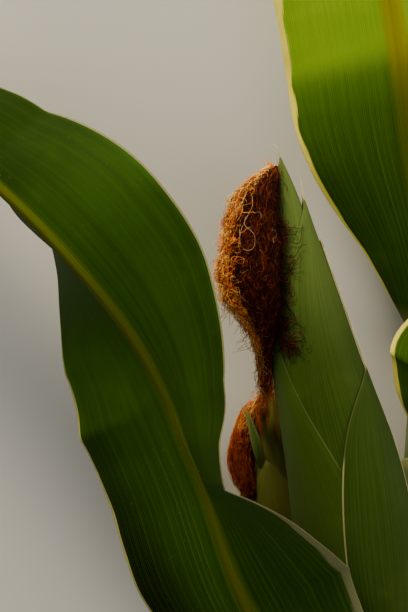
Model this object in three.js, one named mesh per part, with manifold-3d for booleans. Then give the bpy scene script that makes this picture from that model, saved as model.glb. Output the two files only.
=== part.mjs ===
// A cut length of a maize plant, lying on a level surface: a piece of the stalk with two ears
// in their husks, the silk that hangs from them, and the four leaves that grow round them.
// Millimetres and degrees. +Y runs up the stalk, +X to its right and +Z up from the surface.

import * as THREE from 'three';
import { mergeVertices } from 'three/addons/utils/BufferGeometryUtils.js';
import Module from 'manifold-3d';

const wasm = await Module();
wasm.setup();

const GAP = 0.4; // left between two pieces that touch
const FACET_ROOM = 0.3; // more room where one faceted round piece lies inside another

const STALK = {
  foot: -375, // the lower cut, along Y
  top: 175, // the upper cut
  middle: 119, // X of the axis at bendAt
  bendAt: -75,
  lean: 0.065, // X gained for each millimetre up the stalk
  bend: 0.00022, // the lower part curves away from that straight line
  height: 15.8, // of the axis above the surface
  footRadius: 12.5,
  topRadius: 9.5,
  sides: 16,
};
const KNUCKLES = [-300, -200, -105, 0, 105]; // Y of the stalk's joints
const KNUCKLE = { swell: 1.2, reach: 5, rings: [-9, -4, 0, 4, 9, 48] }; // rings from the joint up

const SHEATH = {
  wall: 1.0,
  slitLow: 8, // half the angle left open, at the joint and at the collar
  slitHigh: 18,
  edgeDrop: 7, // the top edge is this much lower across from the midrib
  stepOut: 2.0, // it steps out over the next joint, from stepFrom below it, over stepLength
  stepFrom: 16,
  stepLength: 12,
  cells: 15,
};
const BLADE = {
  thickness: 2.4,
  keelBase: 3.2, // the midrib stands this far out of the lower face at the collar
  keelTip: 0.6,
  taperFrom: 0.36, // share of the length where it begins to narrow to its point
  taperCurve: 2.2,
  taperPoint: 0.9,
  unrollOver: 34, // the wrap round the stalk dies away over this length
  tipHalf: 1.0,
  pieces: 3,
  steps: 12,
  across: [-1, -0.6, -0.14, 0, 0.14, 0.6, 1],
};

// Each leaf. A station is a point of the midrib, from collar to tip, and how far the blade's left
// and right halves turn down from level there. The blade wraps the stalk at its base, reaches its
// full width openOver from the collar, and rolls from there to face up.
const LEAVES = [
  {
    name: 'left_leaf',
    halfWidth: 56,
    collarHalf: 31.5,
    openOver: 120,
    wrap: 82,
    roll: 33,
    ruffle: { height: 2.5, length: 62, phase: 1.2 },
    stations: [
      [74.4, -220.6, 74.8, 0, 0], [51, -186, 91, 27, -6], [22, -146, 94, 30, -17],
      [-0.5, -84.5, 96, 31, -79], [-8.8, -64.8, 96.5, 34, -73], [-16.7, -44.8, 97, 38, -62],
      [-35, -13.3, 99, 51, -36], [-71.7, 29.7, 103, 86, 4], [-108, 64, 104, 76, 34],
      [-160, 102, 88, 48, 40], [-215, 130, 50, 26, 26], [-268, 146, 12, 10, 12],
      [-325, 153, 1.3, 2, 2], [-400, 156, 1.3, 0, 0],
    ],
  },
  {
    name: 'top_leaf',
    knuckle: 2,
    collar: -15,
    facing: [-0.25, 0.97],
    halfWidth: 54,
    collarHalf: 22.5,
    openOver: 140,
    wrap: 88,
    roll: 14,
    ruffle: { height: 3, length: 88, phase: 0.4 },
    stations: [
      [118.9, -14.2, 29.9, 0, 0], [113, 30, 45, 9, 12], [102.2, 78.2, 54, 7, 14],
      [90.9, 152, 62, 8, 16], [72, 245, 65, 16, 18], [54, 335, 48, 15, 15],
      [40, 412, 18, 8, 8], [29, 475, 1.6, 2, 2], [16, 560, 1.3, 0, 0],
    ],
  },
  {
    name: 'right_leaf',
    knuckle: 1,
    collar: -75,
    facing: [0.6, 0.8],
    halfWidth: 54,
    collarHalf: 24,
    openOver: 62,
    wrap: 88,
    roll: -37,
    ruffle: { height: 5, length: 80, phase: 2.2 },
    stations: [
      [129.5, -73.7, 29.6, 0, 0], [132.5, -50, 47, 6, 16], [147, -18, 66, 8, 20],
      [179, 12, 80, 16, 24], [226, 36, 84, 22, 24], [286, 54, 66, 18, 20],
      [340, 58, 30, 12, 12], [386, 52, 3, 3, 3], [440, 36, 1.3, 0, 0],
      [500, 8, 1.3, 0, 0],
    ],
  },
  {
    name: 'upper_leaf',
    knuckle: 3,
    collar: 85,
    facing: [0.9, 0.44],
    halfWidth: 46,
    collarHalf: 22,
    openOver: 130,
    wrap: 88,
    roll: -63,
    ruffle: { height: 4, length: 74, phase: 0.9 },
    stations: [
      [141.9, 85.8, 21.9, 0, 0], [155, 107, 35, 10, 14], [180, 140, 53, 14, 18],
      [214, 180, 68, 20, 22], [258, 222, 70, 22, 24], [305, 258, 52, 16, 18],
      [350, 288, 22, 10, 12], [392, 312, 2.6, 3, 3], [440, 330, 1.3, 0, 0],
      [495, 342, 1.3, 0, 0],
    ],
  },
];

// The left leaf's sheath leaves the stalk and follows the ears' stem, as an open channel.
const CHANNEL = {
  path: [[93.2, -300, 15.8], [93.6, -285, 20.5], [92, -262, 38], [90, -240, 49], [87, -222.4, 56]],
  radius: [15.5, 17.2, 18.8, 20.3, 22],
  stalkSide: [122, 116, 108, 98, 82], // how far it wraps, each way from the side that faces out
  openSide: [122, 112, 82, 70, 66],
  facing: [-0.55, 0.835],
  rows: 9,
};

const HUSK = {
  wall: 0.9,
  layer: 1.9, // from the middle of one husk leaf to the middle of the next
  coreLayer: -2.3, // the core's surface, in layers below the ear's outline
  leastRadius: 1.2, // of a husk leaf round the ear's axis
  tipHalf: 2, // half the angle that a husk leaf's point takes up
  flareOver: 14, // the point's flare dies away over this length
  tipRows: [19, 11, 5, 0], // rows of corners this far behind the point
};
const MAIN_EAR = {
  axis: [[88, -185, 55], [79, -140, 56], [70, -84, 57], [55.3, -24.5, 57.5], [37.3, 76, 58]],
  outline: [
    [0, 0.8], [23, 7.8], [74, 17.2], [114, 22.6], [158, 27.4], [190, 29], [222, 27.2], [246, 21],
    [268, 14.5],
  ],
  sides: 16,
  rows: 13,
  coreFrom: 12, // its core begins this far below the tip
  stem: [[93, -296, 20], [92.5, -272, 34], [91.5, -245, 47], [91, -215, 54], [88.4, -187, 55.2]],
  stemRadius: [8.5, 9, 9.5, 10.5, 12],
  stemSides: 12,
};
const SECOND_EAR = {
  axis: [[57, -168, 19.4], [41, -127, 19.2], [31.5, -90, 19.6], [28.1, -48, 20.8]],
  outline: [[0, 0.8], [12, 5.2], [35, 11.5], [58, 16.2], [80, 16.2], [104, 13], [127, 8.5]],
  sides: 12,
  rows: 9,
  coreFrom: 12,
  stem: [[86, -278, 26], [80, -250, 24], [69.5, -205, 21], [57.3, -168.6, 19.4]],
  stemRadius: [4, 4.6, 5.2, 6.5],
  stemSides: 10,
};

// Husk leaves: middle is the side they lie on, from the front (0, up) towards the stalk (90);
// tip is how far their point lies below the ear's own tip, and opening how soon they widen.
const MAIN_HUSKS = [
  { name: 'back', middle: -112, spread: 150, tip: -3, opening: 22, layer: -1, flare: 1.0, across: 15 },
  { name: 'front', middle: 92, spread: 146, tip: 9, opening: 34, layer: 0, flare: 2.6, across: 14 },
  { name: 'right', middle: 80, spread: 112, tip: 105, opening: 40, layer: 1.25, flare: 0.8, across: 11 },
  { name: 'left', middle: -92, spread: 112, tip: 93, opening: 40, layer: 2.3, flare: 0.5, across: 11 },
];
const SECOND_HUSKS = [
  { name: 'back', middle: -75, spread: 150, tip: -4, opening: 16, layer: -1, flare: 1.0, across: 13 },
  { name: 'front', middle: 70, spread: 140, tip: 8, opening: 22, layer: 0, flare: 1.6, across: 12 },
];

const MAIN_SILK = {
  path: [
    [36, 70, 60], [28.6, 53, 66], [26.7, 33, 69.5], [25.5, 13, 70.5], [28.7, -7, 69],
    [30.8, -27, 62], [28, -45, 52],
  ],
  radius: [4, 13.5, 17.2, 19.9, 15.8, 7.8, 2.6],
  locks: 9,
  lockRadius: 4.8,
  seed: 11,
};
const LOCK = {
  core: 0.78, // share of the tuft's radius that its core fills
  depth: [0.72, 0.92], // share of the radius at which a lock lies
  start: 0.06, // a lock's stretch of the tuft's length
  end: [0.55, 0.97],
  uneven: 0.6,
  twist: 2,
  outline: [0.5, 0.9, 1, 1, 0.85, 0.35],
  sides: 5,
};
const SECOND_SILK = {
  path: [[27.6, -50, 22.5], [21, -61, 25], [18.5, -74.5, 23], [20, -88, 19.5], [25, -99, 15]],
  radius: [3, 7, 8.5, 7, 3],
  locks: 5,
  lockRadius: 3.2,
  seed: 23,
};

const COLOURS = {
  stalk: { color: 0x8a9a4a, roughness: 0.6 },
  sheath: { color: 0x6f8a3a, roughness: 0.62 },
  blade: { color: 0x35601c, roughness: 0.55 },
  husk: { color: 0x6d8450, roughness: 0.75 },
  kernels: { color: 0x8fa45e, roughness: 0.75 },
  silk: { color: 0x7c2b0c, roughness: 0.7 },
};

const UP = new THREE.Vector3(0, 0, 1);
const rad = THREE.MathUtils.degToRad;
const vector = (p) => new THREE.Vector3(...p);
const smooth = (x) => THREE.MathUtils.smoothstep(x, 0, 1);

// A seeded random number from 0 to 1.
function randomFrom(seed) {
  let state = seed;
  return () => {
    state = (state * 1664525 + 1013904223) % 4294967296;
    return state / 4294967296;
  };
}

// Values at even steps of t, joined by straight lines.
function between(values, t) {
  const x = THREE.MathUtils.clamp(t, 0, 1) * (values.length - 1);
  const i = Math.min(Math.floor(x), values.length - 2);
  return THREE.MathUtils.lerp(values[i], values[i + 1], x - i);
}

const smoothPath = (points) => new THREE.CatmullRomCurve3(points.map(vector), false, 'centripetal');

// A closed geometry from loose corners, turned to face outwards.
function closed(points, faces) {
  let volume = 0;
  for (const [a, b, c] of faces) {
    volume += points[a].dot(new THREE.Vector3().crossVectors(points[b], points[c]));
  }
  const turned = volume < 0 ? faces.map(([a, b, c]) => [a, c, b]) : faces;
  return new THREE.BufferGeometry().setFromPoints(points).setIndex(turned.flat());
}

// A thin solid on both sides of surface(u, v). lift(u, v) gives how far each face stands off it.
function sheetSolid(surface, us, vs, lift) {
  const step = 1e-3;
  const points = [];
  for (const side of [1, -1]) {
    for (const u of us) {
      for (const v of vs) {
        const along = surface(u + step, v).sub(surface(u - step, v));
        const over = surface(u, v + step).sub(surface(u, v - step));
        const out = over.cross(along).normalize();
        points.push(surface(u, v).addScaledVector(out, side * lift(u, v)[side > 0 ? 0 : 1]));
      }
    }
  }
  const rows = us.length;
  const columns = vs.length;
  const at = (side, i, j) => (side * rows + i) * columns + j;
  const faces = [];
  const quad = (a, b, c, d) => faces.push([a, b, c], [a, c, d]);
  for (let i = 0; i < rows - 1; i += 1) {
    for (let j = 0; j < columns - 1; j += 1) {
      quad(at(0, i, j), at(0, i, j + 1), at(0, i + 1, j + 1), at(0, i + 1, j));
      quad(at(1, i, j), at(1, i + 1, j), at(1, i + 1, j + 1), at(1, i, j + 1));
    }
    quad(at(0, i, 0), at(0, i + 1, 0), at(1, i + 1, 0), at(1, i, 0));
    const end = columns - 1;
    quad(at(0, i, end), at(1, i, end), at(1, i + 1, end), at(0, i + 1, end));
  }
  for (let j = 0; j < columns - 1; j += 1) {
    const end = rows - 1;
    quad(at(0, 0, j), at(1, 0, j), at(1, 0, j + 1), at(0, 0, j + 1));
    quad(at(0, end, j), at(0, end, j + 1), at(1, end, j + 1), at(1, end, j));
  }
  return closed(points, faces);
}

// A solid through rings of points, closed by a flat end at each of them.
function loft(rings) {
  const sides = rings[0].length;
  const points = rings.flat();
  const faces = [];
  for (let i = 0; i < rings.length - 1; i += 1) {
    for (let j = 0; j < sides; j += 1) {
      const k = (j + 1) % sides;
      faces.push([i * sides + j, i * sides + k, (i + 1) * sides + k]);
      faces.push([i * sides + j, (i + 1) * sides + k, (i + 1) * sides + j]);
    }
  }
  const last = (rings.length - 1) * sides;
  for (let j = 1; j < sides - 1; j += 1) {
    faces.push([0, j + 1, j]);
    faces.push([last, last + j, last + j + 1]);
  }
  return closed(points, faces);
}

function evenly(from, to, steps) {
  return Array.from({ length: steps + 1 }, (_, i) => THREE.MathUtils.lerp(from, to, i / steps));
}

// Angles for the corners of a ring, in degrees.
const roundRing = (sides) => evenly(0, 360, sides).slice(0, -1);

function toSolid(geometry) {
  const bare = new THREE.BufferGeometry();
  bare.setAttribute('position', geometry.getAttribute('position'));
  bare.setIndex(geometry.index);
  const merged = mergeVertices(bare, 1e-3);
  return new wasm.Manifold(new wasm.Mesh({
    numProp: 3,
    vertProperties: merged.attributes.position.array,
    triVerts: new Uint32Array(merged.index.array),
  }));
}

// The largest connected body of a cut solid, as a geometry.
function toGeometry(cut) {
  const largest = cut.decompose().reduce((a, b) => (b.volume() > a.volume() ? b : a));
  const mesh = largest.getMesh();
  const geometry = new THREE.BufferGeometry();
  geometry.setAttribute('position', new THREE.BufferAttribute(new Float32Array(mesh.vertProperties), 3));
  geometry.setIndex(new THREE.BufferAttribute(new Uint32Array(mesh.triVerts), 1));
  return geometry;
}

const group = new THREE.Group();

function addNode(name, geometry, finish) {
  const material = new THREE.MeshStandardMaterial({ ...finish, metalness: 0, side: THREE.DoubleSide });
  const mesh = new THREE.Mesh(geometry, material);
  mesh.name = name;
  group.add(mesh);
}

function stalkAxis(y) {
  const up = y - STALK.bendAt;
  const x = STALK.middle + STALK.lean * up - STALK.bend * Math.min(0, up) ** 2;
  return new THREE.Vector3(x, y, STALK.height);
}

function plainRadius(y) {
  return THREE.MathUtils.mapLinear(y, STALK.foot, STALK.top, STALK.footRadius, STALK.topRadius);
}

function stalkRadius(y) {
  const swell = KNUCKLES.reduce((sum, k) => sum + Math.exp(-(((y - k) / KNUCKLE.reach) ** 2)), 0);
  return plainRadius(y) + KNUCKLE.swell * swell;
}

function stalkSolid(extra) {
  const stations = [STALK.foot];
  for (const k of KNUCKLES) {
    stations.push(...KNUCKLE.rings.map((up) => k + up));
  }
  stations.push(STALK.top);
  const rings = stations.map((y) => roundRing(STALK.sides).map((angle) => {
    const out = new THREE.Vector3(Math.cos(rad(angle)), 0, Math.sin(rad(angle)));
    return stalkAxis(y).addScaledVector(out, stalkRadius(y) + extra);
  }));
  return loft(rings);
}

// A sheath is a slit tube round the stalk. Where the next one up begins, it steps out over it.
function sheathSurface(leaf) {
  const low = KNUCKLES[leaf.knuckle];
  const next = KNUCKLES[leaf.knuckle + 1];
  const middle = Math.atan2(leaf.facing[0], leaf.facing[1]);
  return (u, v) => {
    const turn = v * rad(180 - THREE.MathUtils.lerp(SHEATH.slitLow, SHEATH.slitHigh, u));
    const top = leaf.collar - (SHEATH.edgeDrop * (1 - Math.cos(turn))) / 2;
    const y = THREE.MathUtils.lerp(low, top, u);
    const inner = plainRadius(y) + KNUCKLE.swell + GAP + FACET_ROOM
      + SHEATH.stepOut * smooth((y - next + SHEATH.stepFrom) / SHEATH.stepLength);
    const angle = middle + turn;
    const out = new THREE.Vector3(Math.sin(angle), 0, Math.cos(angle));
    return stalkAxis(y).addScaledVector(out, inner + SHEATH.wall / 2);
  };
}

function addSheath(leaf) {
  const lift = () => [SHEATH.wall / 2, SHEATH.wall / 2];
  const low = KNUCKLES[leaf.knuckle];
  const next = KNUCKLES[leaf.knuckle + 1];
  const step = evenly(next - SHEATH.stepFrom, next - SHEATH.stepFrom + SHEATH.stepLength, 3);
  const rows = step.map((y) => (y - low) / (leaf.collar - low)).filter((u) => u < 1);
  const us = [0, 0.3, 0.6, ...rows, 1];
  const solid = sheetSolid(sheathSurface(leaf), us, evenly(-1, 1, SHEATH.cells), lift);
  addNode(`${leaf.name}_sheath`, solid, COLOURS.sheath);
}

// How far a wall at this radius can wrap from its outer side before it comes within reach of the stalk.
function wrapThatClears(centre, radius, facing, side, wished) {
  const nearest = stalkRadius(centre.y) + SHEATH.wall + GAP + FACET_ROOM;
  const end = (angle) => centre.clone().add(facing(side * angle).multiplyScalar(radius));
  const distance = (angle) => end(angle).distanceTo(stalkAxis(centre.y));
  let angle = wished;
  while (angle > 0 && distance(angle) < nearest) {
    angle -= 1;
  }
  return angle;
}

function channelSurface() {
  const path = smoothPath(CHANNEL.path);
  const middle = Math.atan2(CHANNEL.facing[0], CHANNEL.facing[1]);
  const facing = (angle) => {
    const a = middle + rad(angle);
    return new THREE.Vector3(Math.sin(a), 0, Math.cos(a));
  };
  return (u, v) => {
    const share = THREE.MathUtils.clamp(u, 0, 1);
    const centre = path.getPoint(share);
    centre.addScaledVector(path.getTangent(share), (u - share) * path.getLength());
    const radius = between(CHANNEL.radius, share);
    const side = v < 0 ? -1 : 1;
    const wished = between(v < 0 ? CHANNEL.openSide : CHANNEL.stalkSide, share);
    const reach = wrapThatClears(centre, radius, facing, side, wished);
    return centre.add(facing(v * reach).multiplyScalar(radius));
  };
}

function addChannel(leaf) {
  const us = evenly(0, 1, CHANNEL.rows).map((u) => u ** 1.5); // closer rows where it leaves the stalk
  const lift = () => [SHEATH.wall / 2, SHEATH.wall / 2];
  const solid = sheetSolid(channelSurface(), us, evenly(-1, 1, SHEATH.cells), lift);
  addNode(`${leaf.name}_sheath`, solid, COLOURS.sheath);
}

// Where a half of the blade lies at a share of its width, from a starting angle and a further bend.
function halfSection(share, width, start, bend) {
  if (Math.abs(bend) < 1e-3) {
    return [share * width * Math.cos(start), share * width * Math.sin(start)];
  }
  const reach = width / bend;
  const end = start + bend * share;
  return [reach * (Math.sin(end) - Math.sin(start)), reach * (Math.cos(start) - Math.cos(end))];
}

function bladeSurface(leaf) {
  const path = smoothPath(leaf.stations.map((station) => station.slice(0, 3)));
  const length = path.getLength();
  const halfWidth = (u) => {
    const open = smooth((u * length) / leaf.openOver);
    const opened = THREE.MathUtils.lerp(leaf.collarHalf, leaf.halfWidth, open);
    const past = Math.max(0, (u - BLADE.taperFrom) / (1 - BLADE.taperFrom));
    return Math.max(BLADE.tipHalf, opened * (1 - past ** BLADE.taperCurve) ** BLADE.taperPoint);
  };
  const surface = (u, v) => {
    const share = THREE.MathUtils.clamp(u, 0, 1);
    const t = path.getUtoTmapping(share);
    const point = path.getPoint(t);
    const along = path.getTangent(t);
    point.addScaledVector(along, (u - share) * length);
    const flatOut = UP.clone().addScaledVector(along, -along.dot(UP)).normalize();
    const flatRight = along.clone().cross(flatOut);
    const fade = Math.exp(-(share * length) / BLADE.unrollOver);
    const roll = rad(leaf.roll) * fade;
    const out = flatOut.clone().applyAxisAngle(along, -roll);
    const right = along.clone().cross(out);
    const side = v < 0 ? -1 : 1;
    const fold = rad(between(leaf.stations.map((station) => station[v < 0 ? 3 : 4]), t));
    const half = halfWidth(share);
    const [sideways, down] = halfSection(Math.abs(v), half, fold, rad(leaf.wrap) * fade);
    const height = leaf.ruffle.height * v * v * (1 - fade) * Math.min(1, half / leaf.collarHalf);
    const turns = (share * length) / leaf.ruffle.length;
    const wave = height * Math.sin(2 * Math.PI * turns + leaf.ruffle.phase * (side + 2));
    point.addScaledVector(right, side * (sideways + wave * Math.sin(fold)));
    point.addScaledVector(out, wave * Math.cos(fold) - down);
    point.z = Math.max(point.z, BLADE.thickness / 2);
    return point;
  };
  return { surface, length };
}

// The keel is the midrib, which stands out of the side that faces away from the stalk.
function addBlade(leaf) {
  const { surface, length } = bladeSurface(leaf);
  const lift = (u, v) => {
    const keel = THREE.MathUtils.lerp(BLADE.keelBase, BLADE.keelTip, Math.sqrt(u));
    const half = BLADE.thickness / 2;
    const rise = v === 0 ? keel : 0;
    return [half + rise, half];
  };
  const parts = ['base', 'middle', 'tip'];
  for (let i = 0; i < BLADE.pieces; i += 1) {
    const trim = GAP / 2 / length;
    const us = evenly(i / BLADE.pieces + (i ? trim : 0), (i + 1) / BLADE.pieces - trim, BLADE.steps);
    addNode(`${leaf.name}_${parts[i]}`, sheetSolid(surface, us, BLADE.across, lift), COLOURS.blade);
  }
}

// Places on an ear: a distance below its tip, an angle round it from the front, and a radius.
function earFrame(ear) {
  const axis = smoothPath(ear.axis);
  const length = axis.getLength();
  const outline = new THREE.SplineCurve(ear.outline.map(([d, r]) => new THREE.Vector2(d, r)));
  const samples = outline.getPoints(200);
  const radiusAt = (below) => {
    const i = samples.findIndex((p) => p.x >= below);
    if (i < 1) {
      return i === 0 ? samples[0].y : samples.at(-1).y;
    }
    const [a, b] = [samples[i - 1], samples[i]];
    return THREE.MathUtils.mapLinear(below, a.x, b.x, a.y, b.y);
  };
  const place = (below, angle, radius) => {
    const share = 1 - below / length;
    const held = THREE.MathUtils.clamp(share, 0, 1);
    const point = axis.getPointAt(held);
    const along = axis.getTangentAt(held);
    point.addScaledVector(along, (share - held) * length);
    const front = UP.clone().addScaledVector(along, -along.dot(UP)).normalize();
    const right = along.clone().cross(front);
    point.addScaledVector(front, Math.cos(rad(angle)) * radius);
    return point.addScaledVector(right, Math.sin(rad(angle)) * radius);
  };
  return { length, radiusAt, place };
}

// A round body inside an ear, this far under its outline.
function earBody(ear, sides, from, under) {
  const frame = earFrame(ear);
  const rings = evenly(from, frame.length, ear.rows + 1).map((below) => {
    const radius = Math.max(frame.radiusAt(below) - under, HUSK.leastRadius / 2);
    return roundRing(sides).map((angle) => frame.place(below, angle, radius));
  });
  return loft(rings);
}

function addCore(name, ear) {
  const core = earBody(ear, ear.sides, ear.coreFrom, -HUSK.coreLayer * HUSK.layer);
  addNode(`${name}_core`, core, COLOURS.kernels);
}

// A husk leaf wraps the ear from its butt, and narrows to a point that stands a little off it.
// All of an ear's husk leaves share their rows, so that none cuts its neighbour. The extra room
// makes a larger one, to cut its neighbours with.
function huskSolid(ear, husk, room) {
  const frame = earFrame(ear);
  const surface = (u, v) => {
    const below = THREE.MathUtils.lerp(frame.length, husk.tip, u);
    const open = 1 - Math.exp(-Math.max(0, below - husk.tip) / husk.opening);
    const nearTip = Math.exp(-(below - husk.tip) / HUSK.flareOver);
    const over = -HUSK.wall / 2 + husk.layer * HUSK.layer + husk.flare * nearTip;
    const radius = Math.max(frame.radiusAt(below) + over, HUSK.leastRadius);
    const beyond = v - THREE.MathUtils.clamp(v, -1, 1);
    const spread = (v - beyond) * (husk.spread * open + HUSK.tipHalf);
    const angle = husk.middle + spread + THREE.MathUtils.radToDeg(beyond / radius);
    return frame.place(below, angle, radius);
  };
  const tipRows = HUSK.tipRows.map((up) => husk.tip + up);
  const rows = evenly(frame.length, 0, ear.rows).filter((below) => below > tipRows[0] + 6);
  const belows = [...rows, ...tipRows];
  const us = belows.map((below) => (frame.length - below) / (frame.length - husk.tip));
  const vs = evenly(-1, 1, husk.across);
  if (room > 0) {
    us.push(1 + (2 * room) / frame.length);
    vs.unshift(-1 - room);
    vs.push(1 + room);
  }
  const lift = () => [HUSK.wall / 2 + room, HUSK.wall / 2 + room];
  return sheetSolid(surface, us, vs, lift);
}

function addHusk(name, ear, husk) {
  addNode(`${name}_husk_${husk.name}`, huskSolid(ear, husk, 0), COLOURS.husk);
}

// A round stem through the given points, cut clear of what it grows from.
function roundStem(points, radii, sides, steps) {
  const path = smoothPath(points);
  const rings = evenly(0, 1, steps).map((u) => {
    const along = path.getTangent(u);
    const front = UP.clone().addScaledVector(along, -along.dot(UP)).normalize();
    const right = along.clone().cross(front);
    return roundRing(sides).map((angle) => path.getPoint(u)
      .addScaledVector(front, Math.cos(rad(angle)) * between(radii, u))
      .addScaledVector(right, Math.sin(rad(angle)) * between(radii, u)));
  });
  return loft(rings);
}

function addStems() {
  const stalk = toSolid(stalkSolid(GAP));
  const earStem = (ear, room) => toSolid(
    roundStem(ear.stem, ear.stemRadius.map((r) => r + room), ear.stemSides, ear.rows),
  );
  const main = earStem(MAIN_EAR, 0);
  addNode('main_ear_stem', toGeometry(main.subtract(stalk)), COLOURS.stalk);
  const room = earStem(MAIN_EAR, GAP);
  const second = earStem(SECOND_EAR, 0);
  addNode('second_ear_stem', toGeometry(second.subtract(stalk).subtract(room)), COLOURS.stalk);
}

// Silk: a core with locks of hair standing out of it, all joined and cut clear of the husk.
function silkSolid(silk) {
  const path = smoothPath(silk.path);
  const random = randomFrom(silk.seed);
  let joined = toSolid(roundStem(silk.path, silk.radius.map((r) => r * LOCK.core), 10, 10));
  for (let i = 0; i < silk.locks; i += 1) {
    const angle = (2 * Math.PI * (i + LOCK.uneven * random())) / silk.locks;
    const depth = THREE.MathUtils.lerp(...LOCK.depth, random());
    const end = THREE.MathUtils.lerp(...LOCK.end, random());
    const twist = LOCK.twist * (random() - 0.5);
    const points = evenly(LOCK.start, end, LOCK.outline.length - 1).map((u) => {
      const out = between(silk.radius, u) * depth;
      const turned = angle + twist * u;
      const aside = new THREE.Vector3(Math.cos(turned), 0, Math.sin(turned));
      return path.getPoint(u).addScaledVector(aside, out).toArray();
    });
    const radii = LOCK.outline.map((share) => share * silk.lockRadius);
    joined = joined.add(toSolid(roundStem(points, radii, LOCK.sides, radii.length - 1)));
  }
  return joined;
}

function addSilk(name, ear, silk, husks) {
  const inside = earBody(ear, ear.sides, ear.coreFrom / 2, HUSK.wall / 2 + HUSK.layer);
  let solid = silkSolid(silk).subtract(toSolid(inside));
  for (const husk of husks) {
    solid = solid.subtract(toSolid(huskSolid(ear, husk, GAP)));
  }
  addNode(`${name}_silk`, toGeometry(solid), COLOURS.silk);
}

addNode('stalk', stalkSolid(0), COLOURS.stalk);
for (const leaf of LEAVES) {
  if (leaf.collar === undefined) {
    addChannel(leaf);
  } else {
    addSheath(leaf);
  }
  addBlade(leaf);
}
addStems();
addCore('main_ear', MAIN_EAR);
addCore('second_ear', SECOND_EAR);
for (const husk of MAIN_HUSKS) {
  addHusk('main_ear', MAIN_EAR, husk);
}
for (const husk of SECOND_HUSKS) {
  addHusk('second_ear', SECOND_EAR, husk);
}
addSilk('main_ear', MAIN_EAR, MAIN_SILK, MAIN_HUSKS);
addSilk('second_ear', SECOND_EAR, SECOND_SILK, SECOND_HUSKS);

// The origin is under the middle of the plant's box, on the surface that it lies on.
const box = new THREE.Box3().setFromObject(group);
group.position.set(-(box.min.x + box.max.x) / 2, -(box.min.y + box.max.y) / 2, -box.min.z);

export default group;
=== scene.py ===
import math

import bpy
import numpy as np
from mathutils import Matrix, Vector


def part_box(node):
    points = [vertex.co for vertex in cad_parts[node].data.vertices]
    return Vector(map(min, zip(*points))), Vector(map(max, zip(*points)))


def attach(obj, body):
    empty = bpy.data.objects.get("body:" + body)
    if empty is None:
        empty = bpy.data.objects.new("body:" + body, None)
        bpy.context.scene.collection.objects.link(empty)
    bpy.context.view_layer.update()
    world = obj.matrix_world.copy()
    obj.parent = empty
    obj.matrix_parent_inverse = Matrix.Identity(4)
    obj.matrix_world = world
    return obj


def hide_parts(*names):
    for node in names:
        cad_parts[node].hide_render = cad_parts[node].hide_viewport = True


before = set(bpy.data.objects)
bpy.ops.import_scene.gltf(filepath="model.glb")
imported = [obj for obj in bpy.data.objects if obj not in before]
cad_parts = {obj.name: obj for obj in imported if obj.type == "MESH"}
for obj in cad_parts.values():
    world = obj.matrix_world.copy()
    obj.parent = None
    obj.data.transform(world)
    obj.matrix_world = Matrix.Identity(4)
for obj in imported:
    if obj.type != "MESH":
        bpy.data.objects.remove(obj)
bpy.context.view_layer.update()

# Lengths are in millimetres and angles in degrees until a mesh is made, in the plant's own
# axes: +X to the right, +Y up the stalk, +Z up from the surface that it lies on.
MM = 0.001
STALK_FOOT = -375.0
STALK_TOP = 175.0
STALK_TOP_RIGHT = 144.75  # the right side of the upper cut
stalk_low, stalk_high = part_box("stalk")
SHIFT = np.array([
    stalk_high[0] / MM - STALK_TOP_RIGHT,
    stalk_low[1] / MM - STALK_FOOT,
    0.0,
])

# In the groups below, a name that ends in over is the length over which something grows or
# fades, one that ends in curve is a power, and one that ends in rise is how steeply it grows.
STALK = {
    "middle": 119.0, "bend_at": -75.0, "lean": 0.065, "bend": 0.00022, "height": 15.8,
    "foot_radius": 12.5, "top_radius": 9.5, "pinch": 0.7, "pinch_below": 7.0, "pinch_reach": 3.0,
    "uneven": 0.12, "rings": 420, "sides": 72,
}
KNUCKLES = (-300.0, -200.0, -105.0, 0.0, 105.0)
KNUCKLE_SWELL = 1.2
KNUCKLE_REACH = 5.0
GROOVE = {
    "depth": 1.5, "width": 30.0, "curve": 0.7, "rise": 8,
    "sides": (-150, 30, -150, 30, -150, 30),
}

SHEATH = {
    "wall": 0.8, "room": 0.7, "slit_low": 8.0, "slit_high": 18.0, "edge_drop": 7.0,
    "step_out": 2.0, "step_from": 16.0, "step_length": 12.0, "lift": 0.5,
    "edge": 0.12, "edge_over": 6.0, "ribs": 22, "rib_height": 0.14, "rib_over": 8.0,
    "back_height": 0.9, "back_half": 0.09, "back_rise": 1.2, "map_half": 40.0,
    "rows": 110, "columns": 73,
}

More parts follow.
